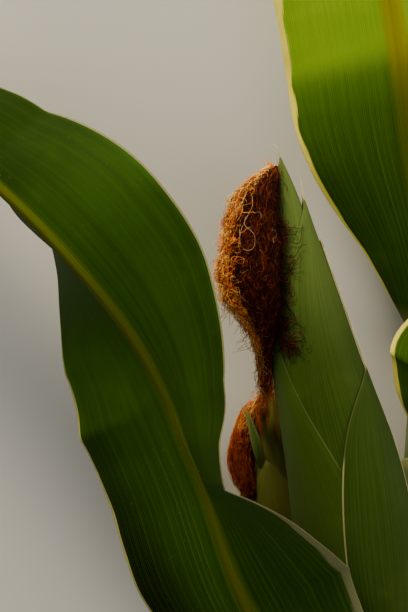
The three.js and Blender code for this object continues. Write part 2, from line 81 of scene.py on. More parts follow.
# A station is a point of the midrib and how far the left and right halves turn down there.
# light, and the width of the left and right margins, are given at distances from the collar.
# light is painted light and shade in the blades' colour: above 0 the green is painted lighter, as lit,
# and below 0 it is painted darker, as shaded; left_shade and right_shade paint more shade over a
# blade's left and right halves.
LEAVES = (
    {
        "name": "left_leaf", "half_width": 57.3, "collar_half": 31.5, "open_over": 120,
        "wrap": 82, "roll": 33, "ruffle": (1.4, 62, 1.2), "seed": 3, "pale": (0.3, 0.0),
        "rib": 1.0,
        "light": ((0, -0.1), (100, -0.1), (180, 0.15), (290, 0.1), (330, -0.6), (420, -0.9)),
        "left_shade": ((0, 1.0), (120, 1.0), (200, 0.7), (240, 0.0)),
        "right_shade": ((0, 0.0), (120, 0.0), (180, 0.6), (250, 0.6), (300, 0.0)),
        "left_margin": ((0, 1.4), (400, 1.4)),
        "right_margin": ((0, 4.0), (60, 6.0), (110, 6.0), (150, 2.4), (190, 1.0), (400, 1.0)),
        "stations": (
            (74.4, -220.6, 74.8, 0, 0), (51, -186, 91, 27, -6), (22, -146, 94, 30, -17),
            (-0.5, -84.5, 96, 31, -79), (-8.8, -64.8, 96.5, 34, -73), (-16.7, -44.8, 97, 31, -62),
            (-35, -13.3, 99, 45.5, -36), (-71.7, 29.7, 103, 86, 2), (-108, 64, 104, 88, 38),
            (-160, 102, 88, 62, 46), (-215, 130, 50, 34, 30), (-268, 146, 12, 10, 12),
            (-325, 153, 1.3, 2, 2), (-400, 156, 1.3, 0, 0),
        ),
    },
    {
        "name": "top_leaf", "knuckle": 2, "collar": -15, "facing": (-0.25, 0.97),
        "half_width": 57.5, "collar_half": 24, "open_over": 128,
        "wrap": 88, "roll": 14, "ruffle": (1.8, 88, 0.4), "seed": 5, "pale": (1.0, 1.0),
        "rib": 0.72,
        "light": (
            (0, 0.0), (60, 0.12), (100, 0.27), (119, 0.4), (128, 0.6), (138, 0.82), (151, 1.3),
            (160, 1.5), (260, 1.2), (420, 0.6),
        ),
        # The top leaf's left margin widens where the leaf is painted lit: its pale band is partly the
        # leaf's own pale margin and partly a painted glow of light through it.
        "left_margin": (
            (0, 1.0), (60, 1.5), (90, 2.2), (118, 2.5), (132, 3.4), (150, 3.9), (180, 4.2),
            (260, 3.8), (340, 1.6),
        ),
        "right_margin": ((0, 1.2), (400, 1.2)),
        "stations": (
            (118.9, -14.2, 29.9, 0, 0), (113, 30, 45, 9, 12), (104.2, 78.2, 54, 7, 14),
            (92.9, 152, 62, 8, 16), (74, 245, 65, 16, 18), (55, 335, 48, 15, 15),
            (40, 412, 18, 8, 8), (29, 475, 1.6, 2, 2), (16, 560, 1.3, 0, 0),
        ),
    },
    {
        "name": "right_leaf", "knuckle": 1, "collar": -75, "facing": (0.6, 0.8),
        "half_width": 54, "collar_half": 24, "open_over": 62,
        "wrap": 88, "roll": -37, "ruffle": (5, 80, 2.2), "seed": 8, "pale": (0.7, 0.5),
        "rib": 1.0,
        "light": ((0, 0.1), (200, 0.5)),
        "left_margin": ((0, 1.3), (30, 2.8), (110, 2.8), (180, 1.2), (400, 1.2)),
        "right_margin": ((0, 1.3), (400, 1.2)),
        "stations": (
            (129.5, -73.7, 29.6, 0, 0), (132.5, -50, 47, 5, 16), (135.2, -41.5, 52.4, 3, 17),
            (139.1, -31.7, 58.2, 46, 19), (147, -18, 66, 50, 20), (179, 12, 80, 24, 24),
            (226, 36, 84, 22, 24), (286, 54, 66, 18, 20),
            (340, 58, 30, 12, 12), (386, 52, 3, 3, 3), (440, 36, 1.3, 0, 0),
            (500, 8, 1.3, 0, 0),
        ),
    },
    {
        "name": "upper_leaf", "knuckle": 3, "collar": 85, "facing": (0.9, 0.44),
        "half_width": 46, "collar_half": 22, "open_over": 130,
        "wrap": 88, "roll": -63, "ruffle": (4, 74, 0.9), "seed": 12, "pale": (0.6, 0.6),
        "rib": 1.0,
        "light": ((0, 0.1), (250, 0.6)),
        "left_margin": ((0, 1.2), (400, 1.2)),
        "right_margin": ((0, 1.2), (400, 1.2)),
        "stations": (
            (141.9, 85.8, 21.9, 0, 0), (155, 107, 35, 10, 14), (180, 140, 53, 14, 18),
            (214, 180, 68, 20, 22), (258, 222, 70, 22, 24), (305, 258, 52, 16, 18),
            (350, 288, 22, 10, 12), (392, 312, 2.6, 3, 3), (440, 330, 1.3, 0, 0),
            (495, 342, 1.3, 0, 0),
        ),
    },
)
BLADE = {
    "half_thickness": 0.42, "edge": 0.12, "edge_over": 3.0, "keel_base": 2.6, "keel_tip": 0.5,
    "keel_half": 3.8, "taper_from": 0.36, "taper_curve": 2.2, "taper_point": 0.9,
    "unroll_over": 34.0, "tip_half": 0.3, "keel_curve": 1.6, "keel_hollow": 0.2,
    "vein_height": 0.05, "vein_below": 0.6, "vein_over": 6.0, "vein_patches": 9,
    "least": 0.08, "crinkles": ((0.9, 9), (0.5, 4)), "crinkle_curve": 5, "crinkle_half": 30.0,
    "margin_uneven": 0.35, "margin_wave": 5, "light_across": 0.25, "shade_from": 0.15,
    "rest": 0.5, "rows": 210, "even_rows": 0.62, "columns": 129, "packing": 1.25, "packed": 0.75,
}

# The left leaf's sheath leaves the stalk and follows the ears' stem, as an open channel.
CHANNEL = {
    "path": ((93.2, -300, 15.8), (93.6, -285, 20.5), (92, -262, 38), (90, -240, 49), (87, -222.4, 56)),
    "radius": (15.5, 17.2, 18.8, 20.3, 22),
    "stalk_side": (122, 116, 108, 98, 82),
    "open_side": (122, 112, 82, 70, 66),
    "facing": (-0.55, 0.835),
}

HUSK = {
    "wall": 0.5, "least_radius": 0.8, "tip_half": 2.0, "tip_over": 6.0, "flare_over": 14.0,
    "press": 0.42, "press_over": 4.0, "pale_from": 150.0, "pale_over": 8.0, "edge": 0.1,
    "edge_over": 2.5, "swell": 0.25, "swell_length": 26, "swell_turns": 5, "swell_over": 8.0,
    "vein_height": 0.007, "vein_over": 4.0, "vein_patches": 7,
    "rows": 120, "packing": 1.35, "columns": 91,
}
FREE_WALL = {"half": 0.2, "vein_height": 0.05, "rows": 70, "columns": 25}
STEM = {"ribs": 12, "rib_height": 0.15, "map_radius": 8, "from_joint": 30, "rings": 70, "sides": 48}
MAIN_EAR = {
    "name": "main_ear",
    "axis": ((88, -185, 55), (79, -140, 56), (70, -84, 57), (55.3, -24.5, 57.5), (37.3, 76, 58)),
    "outline": (
        (0, 0.8), (23, 7.8), (74, 17.2), (114, 22.6), (158, 27.4), (190, 29), (222, 27.2),
        (246, 21), (268, 14.5),
    ),
    "stem": ((93, -296, 20), (92.5, -272, 34), (91.5, -245, 47), (91, -215, 54), (88.4, -187, 55.2)),
    "stem_radius": (8.5, 9, 9.5, 10.5, 12),
}
SECOND_EAR = {
    "name": "second_ear",
    "axis": ((57, -168, 19.4), (41, -127, 19.2), (31.5, -90, 19.6), (28.1, -48, 20.8)),
    "outline": ((0, 0.8), (12, 5.2), (35, 11.5), (58, 16.2), (80, 16.2), (104, 13), (127, 8.5)),
    "stem": ((86, -278, 26), (80, -250, 24), (69.5, -205, 21), (57.3, -168.6, 19.4)),
    "stem_radius": (4, 4.6, 5.2, 6.5),
}

# middle is the side a husk leaf lies on, from the front (0, up) towards the stalk (90). turn is
# how far its tip lies from there, and off is how far it lies off the ear's outline.
MAIN_HUSKS = (
    {"name": "back", "middle": -86, "turn": 137, "spread": 150, "tip": -3, "opening": 22,
     "off": -0.7, "flare": 0.9, "dry": 0.0, "pale": 0.03},
    {"name": "front", "middle": 92, "turn": 0, "spread": 146, "tip": 22, "opening": 23,
     "off": 0.0, "flare": 0.9, "dry": 0.0, "pale": 0.03},
    {"name": "right", "middle": 80, "turn": 0, "spread": 95, "tip": 112, "opening": 23,
     "off": 1.05, "flare": 0.3, "dry": 0.0, "pale": 0.05, "pale_low": 0.45, "press": 0.1},
    # The left leaf's tone is painted light: a lighter green down its middle that lifts the ear's shaded
    # left flank.
    {"name": "left", "middle": -92, "turn": 0, "spread": 240, "tip": 62, "opening": 220,
     "off": 0.7, "flare": 0.2, "dry": 0.0, "pale": 0.04, "tone": 0.5},
)
# A leaf round the main ear's right side and back, whose pale edge is the ear's own outline: partly a
# real pale margin and partly a painted rim highlight along the outline.
EDGE_HUSK = {
    "name": "edge", "middle": 144, "turn": -61, "spread": 63, "tip": 45, "opening": 8,
    "off": 1.2, "flare": 0.3, "dry": 0.0, "pale": 0.95,
}
SECOND_HUSKS = (
    {"name": "back", "middle": -75, "turn": 0, "spread": 150, "tip": -4, "opening": 14,
     "off": -0.7, "flare": 1.0, "dry": 0.35, "pale": 0.2},
    {"name": "front", "middle": 70, "turn": -30, "spread": 140, "tip": 2, "opening": 11,
     "off": 0.0, "flare": 1.6, "dry": 0.6, "pale": 0.2},
)
# Two more leaves of the second ear: one close to it, and one whose tip stands free of it.
LOW_HUSK = {
    "name": "low", "middle": 18, "turn": -10, "spread": 66, "tip": 31, "opening": 20,
    "off": 1.3, "flare": 0.6, "dry": 0.5, "pale": 0.06,
}
FREE_HUSKS = ({
    "name": "free", "dry": 0.0, "pale": 0.15,
    "path": (
        (28.8, -82, 32.2), (28.2, -78, 33.9), (27.2, -73, 35), (26.2, -68.5, 35.3),
        (24.8, -63.7, 35), (22.8, -56.6, 33.8), (21, -52.4, 32.5),
    ),
    "half": (0.9, 1.7, 2.3, 2.3, 1.8, 0.9, 0.15),
    "bowl": 0.9,
}, {
    "name": "side", "dry": 0.7, "pale": 0.15,
    "path": (
        (41.4, -104, 26), (39.6, -94, 27), (38.2, -82, 27.5), (37, -69.4, 27), (36.2, -59, 26),
        (35.4, -45.5, 24.5),
    ),
    "half": (6.6, 6.4, 6.2, 6.0, 5.0, 1.2),
    "bowl": 0.7,
})


PATH_SAMPLES = 1600
TINY = 1e-6  # keeps a length that is divided by off zero


def smoothstep(x):
    """0 up to x = 0, 1 from x = 1, and a smooth rise between them."""
    held = np.clip(x, 0, 1)
    return held * held * (3 - 2 * held)


def blend(low, high, share):
    """The value at a share of the way from low to high."""
    return low + (high - low) * share


def unit(v):
    return v / np.linalg.norm(v, axis=-1, keepdims=True)


def even(values, t):
    """Values at even steps of t, joined by straight lines."""
    return np.interp(t, np.linspace(0, 1, len(values)), values)


class Path:
    """A smooth path through the given points: centripetal Catmull-Rom, finely sampled."""

    def __init__(self, points):
        p = np.array(points, float)
        ends = np.vstack([2 * p[0] - p[1], p, 2 * p[-1] - p[-2]])
        knots = np.linspace(0, len(p) - 1, PATH_SAMPLES)
        i = np.minimum(knots.astype(int), len(p) - 2)
        w = (knots - i)[:, None]
        a, b, c, d = (ends[i + k] for k in range(4))
        chords = np.sqrt(np.linalg.norm(np.diff(ends, axis=0), axis=1))
        before, here, after = (chords[i + k][:, None] for k in range(3))
        leave = ((b - a) / before - (c - a) / (before + here) + (c - b) / here) * here
        arrive = ((c - b) / here - (d - b) / (here + after) + (d - c) / after) * here
        cubic = 2 * b - 2 * c + leave + arrive
        square = -3 * b + 3 * c - 2 * leave - arrive
        self.points = b + leave * w + square * w**2 + cubic * w**3
        self.knots = knots / (len(p) - 1)
        steps = np.linalg.norm(np.diff(self.points, axis=0), axis=1)
        self.along = np.concatenate([[0], np.cumsum(steps)])
        self.length = self.along[-1]
        self.tangents = unit(np.gradient(self.points, axis=0))

    def knot(self, share):
        """How far along the given points shares of the length are, from 0 to 1."""
        return np.interp(np.clip(share, 0, 1) * self.length, self.along, self.knots)

    def at(self, share):
        """Points and directions at shares of the length, carried on straight past the ends."""
        share = np.asarray(share, float)
        held = np.clip(share, 0, 1)
        pick = held * self.length
        point = np.stack([np.interp(pick, self.along, self.points[:, k]) for k in range(3)], -1)
        along = unit(np.stack([np.interp(pick, self.along, self.tangents[:, k]) for k in range(3)], -1))
        point = point + along * ((share - held) * self.length)[..., None]
        return point, along

    def frame(self, share):
        """Point, direction, the side that faces up, and the right-hand side."""
        point, along = self.at(share)
        up = np.array([0.0, 0.0, 1.0])
        front = unit(up - along * (along @ up)[..., None])
        return point, along, front, np.cross(along, front)


# Meshes

def new_object(name, points, faces, material):
    """A mesh object from points in millimetres and lists of corner numbers."""
    mesh = bpy.data.meshes.new(name)
    placed = (np.asarray(points, float) + SHIFT) * MM
    mesh.from_pydata(placed.tolist(), [], faces)
    mesh.update()
    mesh.shade_smooth()
    piece = bpy.data.objects.new(name, mesh)
    bpy.context.scene.collection.objects.link(piece)
    mesh.materials.append(material)
    return piece


def spread_out(values, shape, sides):
    """Values for each point of a grid, repeated for each side of a sheet."""
    return np.tile(np.broadcast_to(values, shape).ravel(), sides)


def add_fields(piece, shape, sides, across, along, **values):
    """A UV map named leaf, and numbers for each point, for a material to read."""
    mesh = piece.data
    corners = np.empty(len(mesh.loops), int)
    mesh.loops.foreach_get("vertex_index", corners)
    both = np.stack([spread_out(each, shape, sides)[corners] for each in (across, along)], -1)
    layer = mesh.uv_layers.new(name="leaf")
    layer.uv.foreach_set("vector", both.astype(np.float32).ravel())
    for name, numbers in values.items():
        field = mesh.attributes.new(name, "FLOAT", "POINT")
        field.data.foreach_set("value", spread_out(numbers, shape, sides).astype(np.float32))


def hand_in(piece, slot, *nodes):
    """Puts a piece under the root body, and hides the solids that it takes the place of. slot is not
    used.
    """
    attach(piece, "root")
    if nodes:
        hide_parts(*nodes)


def grid_normals(points):
    """Directions out of a grid whose rows run along and whose columns run to the right."""
    along = np.gradient(points, axis=0)
    over = np.gradient(points, axis=1)
    return unit(np.cross(over, along) + 1e-9)


def sheet_faces(rows, columns):
    """Faces of a closed sheet: an outer grid, an inner grid, and the rim between them."""
    def at(side, i, j):
        return (side * rows + i) * columns + j

    faces = []
    for i in range(rows - 1):
        for j in range(columns - 1):
            faces.append((at(0, i, j), at(0, i, j + 1), at(0, i + 1, j + 1), at(0, i + 1, j)))
            faces.append((at(1, i, j), at(1, i + 1, j), at(1, i + 1, j + 1), at(1, i, j + 1)))
        last = columns - 1
        faces.append((at(0, i, 0), at(0, i + 1, 0), at(1, i + 1, 0), at(1, i, 0)))
        faces.append((at(0, i, last), at(1, i, last), at(1, i + 1, last), at(0, i + 1, last)))
    for j in range(columns - 1):
        last = rows - 1
        faces.append((at(0, 0, j), at(1, 0, j), at(1, 0, j + 1), at(0, 0, j + 1)))
        faces.append((at(0, last, j), at(0, last, j + 1), at(1, last, j + 1), at(1, last, j)))
    return faces


def sheet(name, middle, outer, inner, material):
    """A thin closed sheet round a grid of points, lifted by outer and inner off its middle."""
    normals = grid_normals(middle)
    rows, columns = middle.shape[:2]
    top = middle + normals * outer[..., None]
    bottom = middle - normals * inner[..., None]
    points = np.concatenate([top.reshape(-1, 3), bottom.reshape(-1, 3)])
    return new_object(name, points, sheet_faces(rows, columns), material)


def tube_faces(rings, sides):
    """Faces of a closed tube, whose two ends come last."""
    faces = []
    for i in range(rings - 1):
        for j in range(sides):
            k = (j + 1) % sides
            faces.append((i * sides + j, i * sides + k, (i + 1) * sides + k, (i + 1) * sides + j))
    last = (rings - 1) * sides
    faces.append(tuple(range(sides - 1, -1, -1)))
    faces.append(tuple(range(last, last + sides)))
    return faces


def fine_lines(rng, count):
    """Uneven heights from 0 to 1 for count columns, as veins side by side."""
    heights = rng.uniform(0, 1, count)
    heights = (np.roll(heights, 1) + 2 * heights + np.roll(heights, -1)) / 4
    return (heights - heights.min()) / (heights.max() - heights.min())


def fine_relief(rng, rows, columns, patches):
    """Uneven veins, from 0 to 1, that fade in and out along a leaf."""
    sets = np.stack([fine_lines(rng, columns) for _ in range(patches)])
    along = np.linspace(0, patches - 1, rows)
    low = np.minimum(along.astype(int), patches - 2)
    share = smoothstep(along - low)[:, None]
    return sets[low] * (1 - share) + sets[low + 1] * share


def wavy(rng, length, count):
    """A smooth random line of count values between about -1 and 1, with length values a wave."""
    knots = rng.uniform(-1, 1, int(count / length) + 4)
    return np.interp(np.linspace(0, len(knots) - 1, count), np.arange(len(knots)), knots)


# Nodes and materials

def add_node(tree, kind, wired=None, **settings):
    """A node whose inputs are set to values or wired to other nodes' outputs."""
    made = tree.nodes.new(kind)
    for key, value in settings.items():
        setattr(made, key, value)
    for key, value in (wired or {}).items():
        if isinstance(value, bpy.types.NodeSocket):
            tree.links.new(value, made.inputs[key])
        else:
            made.inputs[key].default_value = value
    return made


def colour(code):
    """A linear colour from the usual six-digit one."""
    parts = [int(code[i:i + 2], 16) / 255 for i in (1, 3, 5)]
    return [c / 12.92 if c <= 0.04045 else ((c + 0.055) / 1.055) ** 2.4 for c in parts] + [1.0]


WAVE_BAND = math.pi / 10  # a wave texture at scale 1 has a band for each of these
SHEEN_ROUGHNESS = 0.6


class Finish:
    """A procedural material built from a few kinds of node. A tone is a colour code or a socket."""

    def __init__(self, name, roughness=0.5, specular=0.5, sheen=0.0):
        self.material = bpy.data.materials.new(name)
        self.material.use_nodes = True
        self.tree = self.material.node_tree
        self.shader = self.tree.nodes["Principled BSDF"]
        self.shader.inputs["Roughness"].default_value = roughness
        self.shader.inputs["Specular IOR Level"].default_value = specular
        self.shader.inputs["Sheen Weight"].default_value = sheen
        self.shader.inputs["Sheen Roughness"].default_value = SHEEN_ROUGHNESS

    def node(self, kind, wired=None, **settings):
        return add_node(self.tree, kind, wired, **settings).outputs

    def math(self, operation, a, b):
        return self.node("ShaderNodeMath", {0: a, 1: b}, operation=operation)[0]

    def total(self, a, share_a, b, share_b):
        """The sum of two fields, each times its share."""
        return self.math("ADD", self.math("MULTIPLY", a, share_a), self.math("MULTIPLY", b, share_b))

    def ramp(self, value, low, high, to_low=0.0, to_high=1.0):
        """value from low to high, smoothly turned into to_low to to_high."""
        wired = {"Value": value, "From Min": low, "From Max": high, "To Min": to_low, "To Max": to_high}
        return self.node("ShaderNodeMapRange", wired, interpolation_type="SMOOTHSTEP")["Result"]

    def mix(self, share, a, b):
        a, b = (colour(tone) if isinstance(tone, str) else tone for tone in (a, b))
        return self.node("ShaderNodeMix", {"Factor": share, 6: a, 7: b}, data_type="RGBA")[2]

    def layers(self, base, *rows):
        """base under each row's tone: its field, the ends of its ramp, its most and the tone."""
        for field, low, high, most, tone in rows:
            base = self.mix(self.ramp(field, low, high, 0.0, most), base, tone)
        return base

    def value(self, name):
        return self.node("ShaderNodeAttribute", attribute_name=name)["Fac"]

    def scaled(self, vector, scale):
        return self.node("ShaderNodeMapping", {"Vector": vector, "Scale": scale})["Vector"]

    def own_map(self, across, along):
        return self.scaled(self.node("ShaderNodeUVMap", uv_map="leaf")["UV"], (across, along, 1))

    def place(self, scale=(1, 1, 1)):
        return self.scaled(self.node("ShaderNodeTexCoord")["Object"], scale)

    def noise(self, vector, scale, detail, roughness=0.5):
        wired = {"Vector": vector, "Scale": scale, "Detail": detail, "Roughness": roughness}
        return self.node("ShaderNodeTexNoise", wired)["Fac"]

    def grain(self, across, along, detail, roughness=0.6):
        """Uneven streaks that run along the piece."""
        return self.noise(self.own_map(across, along), 1.0, detail, roughness)

    def bands(self, along, step, distortion):
        """Lines that run along the piece, a step apart."""
        wired = {"Vector": self.own_map(1, along), "Scale": WAVE_BAND / step,
                 "Distortion": distortion, "Detail": 2.0}
        return self.node("ShaderNodeTexWave", wired, wave_type="BANDS", bands_direction="X")["Fac"]

    def cells(self, scale, vector):
        """How far each place is from the middle of its cell."""
        return self.node("ShaderNodeTexVoronoi", {"Vector": vector, "Scale": scale})["Distance"]

    def done(self, base, rough=None, height=None, distance=0.0003, strength=0.6):
        """Wires a colour, a roughness and a bump to the shader, and gives the material."""
        looks = {"Base Color": base, "Roughness": rough, "Normal": None}
        if height is not None:
            wired = {"Strength": strength, "Distance": distance, "Height": height}
            looks["Normal"] = self.node("ShaderNodeBump", wired)["Normal"]
        for label, socket in looks.items():
            if socket is not None:
                self.tree.links.new(socket, self.shader.inputs[label])
        return self.material


def blade_finish():
    """Satin leaf: deep green with fine parallel veins, an olive midrib and uneven pale margins, with
    painted light and shade from the light field: lit and glowing greens where it is high, darker green
    where it is low.
    """
    f = Finish("leaf_blade", specular=0.045)
    streaks = f.grain(0.35, 0.006, 4.0)
    fine = f.grain(3.6, 0.02, 3.0)
    veins = f.bands(0.01, 1.05, 1.2)
    strong = f.bands(0.004, 7.4, 0.8)
    wide = f.bands(0.006, 3.3, 1.6)
    clouds = f.noise(f.place(), 13.0, 4.0, 0.55)
    specks = f.noise(f.place(), 420.0, 2.0, 0.6)
    light, rib, reach, pale = (f.value(name) for name in ("light", "rib", "reach", "pale"))
    patchy = f.ramp(streaks, 0.25, 0.75)
    deep = f.mix(patchy, "#213a03", "#2b4a05")
    painted_lit_green = f.mix(patchy, "#426408", "#4f7609")
    # Painted light: veins are lighter where the light field is high.
    vein_tone_painted_by_light = f.mix(light, "#3a5c10", "#6f911c")
    # Painted light and shade: the light field lifts the deep green to a lit green and on to a glowing
    # yellow-green, and below 0 darkens it to painted shade.
    green = f.layers(
        deep, (light, 0.0, 1.0, 1.0, painted_lit_green), (light, 0.75, 1.5, 1.0, "#86ac12"),
        (light, 0.0, -1.0, 1.0, "#081200"), (veins, 0.55, 1.0, 0.24, vein_tone_painted_by_light),
    )
    near = f.ramp(reach, 240.0, 110.0, 0.0, 0.42)
    for fade in (f.ramp(light, -0.9, -0.1, 0.3, 1.0), f.ramp(light, 0.7, 0.2),
                 f.ramp(streaks, 0.35, 0.62, 0.25, 1.0), f.ramp(wide, 0.86, 0.99)):
        near = f.math("MULTIPLY", near, fade)
    rib_tone = f.mix(f.ramp(fine, 0.35, 0.7), "#465004", "#5b6608")
    # Painted light: the midrib turns a lighter yellow-olive where the light field is high.
    rib_tone = f.layers(rib_tone, (light, 0.3, 1.3, 1.0, "#93860f"))
    uneven = f.math("MULTIPLY", f.math("SUBTRACT", fine, 0.5), 0.9)
    edge = f.math("ADD", f.value("edge"), uneven)
    green = f.layers(
        f.mix(near, green, "#5c6a0c"),
        (strong, 0.8, 1.0, 0.08, vein_tone_painted_by_light), (fine, 0.5, 0.72, 0.2, "#102203"),
        (clouds, 0.52, 0.78, 0.3, "#44700a"), (clouds, 0.44, 0.25, 0.35, "#122402"),
        (specks, 0.70, 0.78, 0.2, "#7d8c36"), (rib, 5.8, 2.2, 0.75, rib_tone),
        (rib, 2.0, 0.4, 0.25, "#66540a"), (reach, 16.0, 3.0, 0.7, "#8b9448"),
        # The pale margin is the leaf's own pale edge; at pale 1 its bright cream is also a painted glow
        # of light through the thin margin.
        (edge, 1.1, 0.75, 1.0, f.mix(pale, "#7b7c50", "#ffee58")),
    )
    height = f.total(veins, 0.35, fine, 0.7)
    return f.done(green, f.ramp(streaks, 0.2, 0.8, 0.55, 0.68), height, strength=0.7)


def sheath_finish():
    """Ribbed sheath: paler than the blade, with a whitish bloom and pale thin margins."""
    f = Finish("leaf_sheath", specular=0.25, sheen=0.05)
    streaks = f.grain(1.1, 0.012, 5.0)
    ribs = f.bands(1, 1.7, 0.8)
    bloom = f.noise(f.place(), 30.0, 4.0, 0.6)
    green = f.layers(
        f.mix(f.ramp(streaks, 0.35, 0.65), "#3b5416", "#5e7630"),
        (ribs, 0.5, 1.0, 0.3, "#7f9048"), (bloom, 0.5, 0.75, 0.4, "#94a06c"),
        (f.value("reach"), 9.0, 2.0, 1.0, "#9a9d58"), (f.value("edge"), 2.4, 0.8, 1.0, "#b5ae74"),
    )
    height = f.total(ribs, 1.0, streaks, 0.6)
    return f.done(green, f.ramp(streaks, 0.2, 0.8, 0.45, 0.65), height, strength=0.7)


def husk_finish():
    """Matt green husk, greyer and lighter towards the ear's tip and darker lower down, partly its own
    colour and partly painted light near the tip and painted shade lower down, with fine veins and short
    darker streaks.
    """
    f = Finish("husk_leaf", specular=0.06, sheen=0.02)
    streaks = f.grain(0.8, 0.010, 5.0)
    fine = f.grain(3.0, 0.016, 3.0, 0.55)
    dashes = f.grain(2.4, 0.12, 2.0, 0.5)
    veins = f.bands(0.01, 1.9, 1.4)
    clouds = f.noise(f.place(), 24.0, 4.0, 0.55)
    patchy = f.ramp(streaks, 0.35, 0.66)
    low = f.mix(patchy, "#283c07", "#30460b")
    high = f.mix(patchy, "#4e6121", "#5d7030")
    # From high near the tip to low further down: partly the husk's own colour, partly painted shade
    # lower down.
    green = f.layers(
        high, (f.value("below"), 20.0, 120.0, 1.0, low), (veins, 0.55, 1.0, 0.05, "#6c7c40"),
        (fine, 0.5, 0.72, 0.14, "#172704"), (dashes, 0.64, 0.72, 0.4, "#121f04"),
        (clouds, 0.5, 0.8, 0.3, "#55641c"),
    )
    # Painted light: tone lifts the green towards a lighter green where a flank lies in shade.
    green = f.mix(f.value("tone"), green, "#566a20")
    # Dry leaves turn a brown that is the husk's own; this brown is also made lighter than a dry husk,
    # as painted light on the second ear's leaves, which the main ear shades.
    green = f.mix(f.math("MULTIPLY", f.value("dry"), f.ramp(streaks, 0.25, 0.6)), green, "#6a5718")
    green = f.layers(green, (f.value("reach"), 4.0, 0.5, 1.0, "#8a7a48"))
    # Pale margins; the edge leaf's pale margin along the ear's outline is partly a painted rim
    # highlight.
    margin = f.math("MULTIPLY", f.ramp(f.value("edge"), 1.1, 0.4), f.value("pale"))
    green = f.mix(margin, green, "#c9c284")
    height = f.total(veins, 0.1, fine, 0.7)
    return f.done(green, f.ramp(streaks, 0.2, 0.8, 0.58, 0.74), height, 0.0001, 0.5)


def stalk_finish():
    """Smooth green rind, with fine lengthwise streaks and a pale bloom under each joint."""
    f = Finish("stalk_rind", specular=0.5, sheen=0.05)
    streaks = f.grain(1.4, 0.012, 5.0)
    fibres = f.grain(6.0, 0.03, 2.0, 0.5)
    knuckle = f.value("edge")
    green = f.layers(
        f.mix(f.ramp(streaks, 0.32, 0.68), "#52681f", "#7f8f3c"),
        (fibres, 0.5, 0.8, 0.3, "#55692a"), (knuckle, 9.0, 2.5, 1.0, "#a19c58"),
        (knuckle, 2.2, 0.4, 0.7, "#6a5a2a"),
    )
    return f.done(green, f.ramp(streaks, 0.2, 0.8, 0.32, 0.55), f.math("ADD", streaks, fibres))


def pith_finish():
    """A cut face: moist cream pith with the darker ends of its strands, in a green rind."""
    f = Finish("stalk_cut", roughness=0.6, specular=0.4)
    strand = f.ramp(f.cells(520.0, f.place()), 0.32, 0.16)
    grain = f.noise(f.place(), 900.0, 3.0)
    pith = f.mix(f.ramp(grain, 0.3, 0.7), "#cfc894", "#e6e0b8")
    pith = f.mix(f.math("MULTIPLY", strand, 0.75), pith, "#8f8f4e")
    pith = f.layers(pith, (f.value("edge"), 1.4, 0.8, 1.0, "#7f9340"))
    return f.done(pith, height=f.math("ADD", strand, grain))


def kernel_finish():
    """Rows of pale kernels on the cob, inside the husk."""
    f = Finish("kernels", roughness=0.4, specular=0.5)
    edges = f.ramp(f.cells(150.0, f.place((1, 0.8, 1))), 0.1, 0.6)
    height = f.math("SUBTRACT", 1.0, edges)
    return f.done(f.mix(edges, "#e2cf7c", "#a8934a"), None, height, 0.0012, 0.8)


def silk_finish(name, dark, light, roughness=0.5):
    """Dry silk: two near tones of one colour, in patches along the strands."""
    f = Finish(name, specular=0.1)
    tone = f.noise(f.place(), 260.0, 3.0, 0.6)
    rough = f.ramp(tone, 0.3, 0.7, roughness - 0.08, roughness + 0.12)
    height = f.noise(f.place(), 1800.0, 2.0)
    return f.done(f.mix(f.ramp(tone, 0.35, 0.65), dark, light), rough, height, 0.0001, 0.5)


def floor_finish():
    """Plain pale studio floor."""
    f = Finish("studio_floor", roughness=0.75, specular=0.2)
    return f.done(f.mix(f.noise(f.place(), 3.0, 4.0), "#d6d3c8", "#dedbd1"))


BLADE_LOOK = blade_finish()
SHEATH_LOOK = sheath_finish()
HUSK_LOOK = husk_finish()
STALK_LOOK = stalk_finish()
PITH_LOOK = pith_finish()


# Leaf blades

def blade_middle(leaf, shares, across):
    """The blade's middle surface as a grid, with its half width and length."""
    path = Path([station[:3] for station in leaf["stations"]])
    point, _, front, beside = (a[:, None, :] for a in path.frame(shares))
    reach = shares * path.length
    fade = np.exp(-reach / BLADE["unroll_over"])
    roll = np.radians(leaf["roll"] * fade)[:, None, None]
    out = front * np.cos(roll) - beside * np.sin(roll)
    right = beside * np.cos(roll) + front * np.sin(roll)

    knots = path.knot(shares)
    folds = [even([station[k] for station in leaf["stations"]], knots) for k in (3, 4)]
    v = across[None, :]
    side = np.where(v < 0, -1.0, 1.0)
    fold = np.radians(np.where(v < 0, folds[0][:, None], folds[1][:, None]))
    opening = smoothstep(reach / leaf["open_over"])
    opened = blend(leaf["collar_half"], leaf["half_width"], opening)
    past = np.clip((shares - BLADE["taper_from"]) / (1 - BLADE["taper_from"]), 0, 1)
    taper = np.clip(1 - past ** BLADE["taper_curve"], 0, 1) ** BLADE["taper_point"]
    half = np.maximum(BLADE["tip_half"], opened * taper)[:, None]
    bend = np.radians(leaf["wrap"] * fade)[:, None] * np.abs(v)
    arc = half * np.abs(v) * np.sinc(bend / (2 * np.pi))
    sideways = arc * np.cos(fold + bend / 2)
    down = arc * np.sin(fold + bend / 2)

    height, wave_length, phase = leaf["ruffle"]
    size = height * v**2 * (1 - fade)[:, None] * np.minimum(1, half / leaf["collar_half"])
    wave = size * np.sin(2 * np.pi * reach[:, None] / wave_length + phase * (side + 2))
    wave = wave + crinkle(leaf, reach, v, half) * (1 - fade)[:, None]
    grid = point + right * (side * (sideways + wave * np.sin(fold)))[..., None]
    grid = grid + out * (wave * np.cos(fold) - down)[..., None]
    grid[..., 2] = np.maximum(grid[..., 2], BLADE["rest"])
    return grid, half, path.length


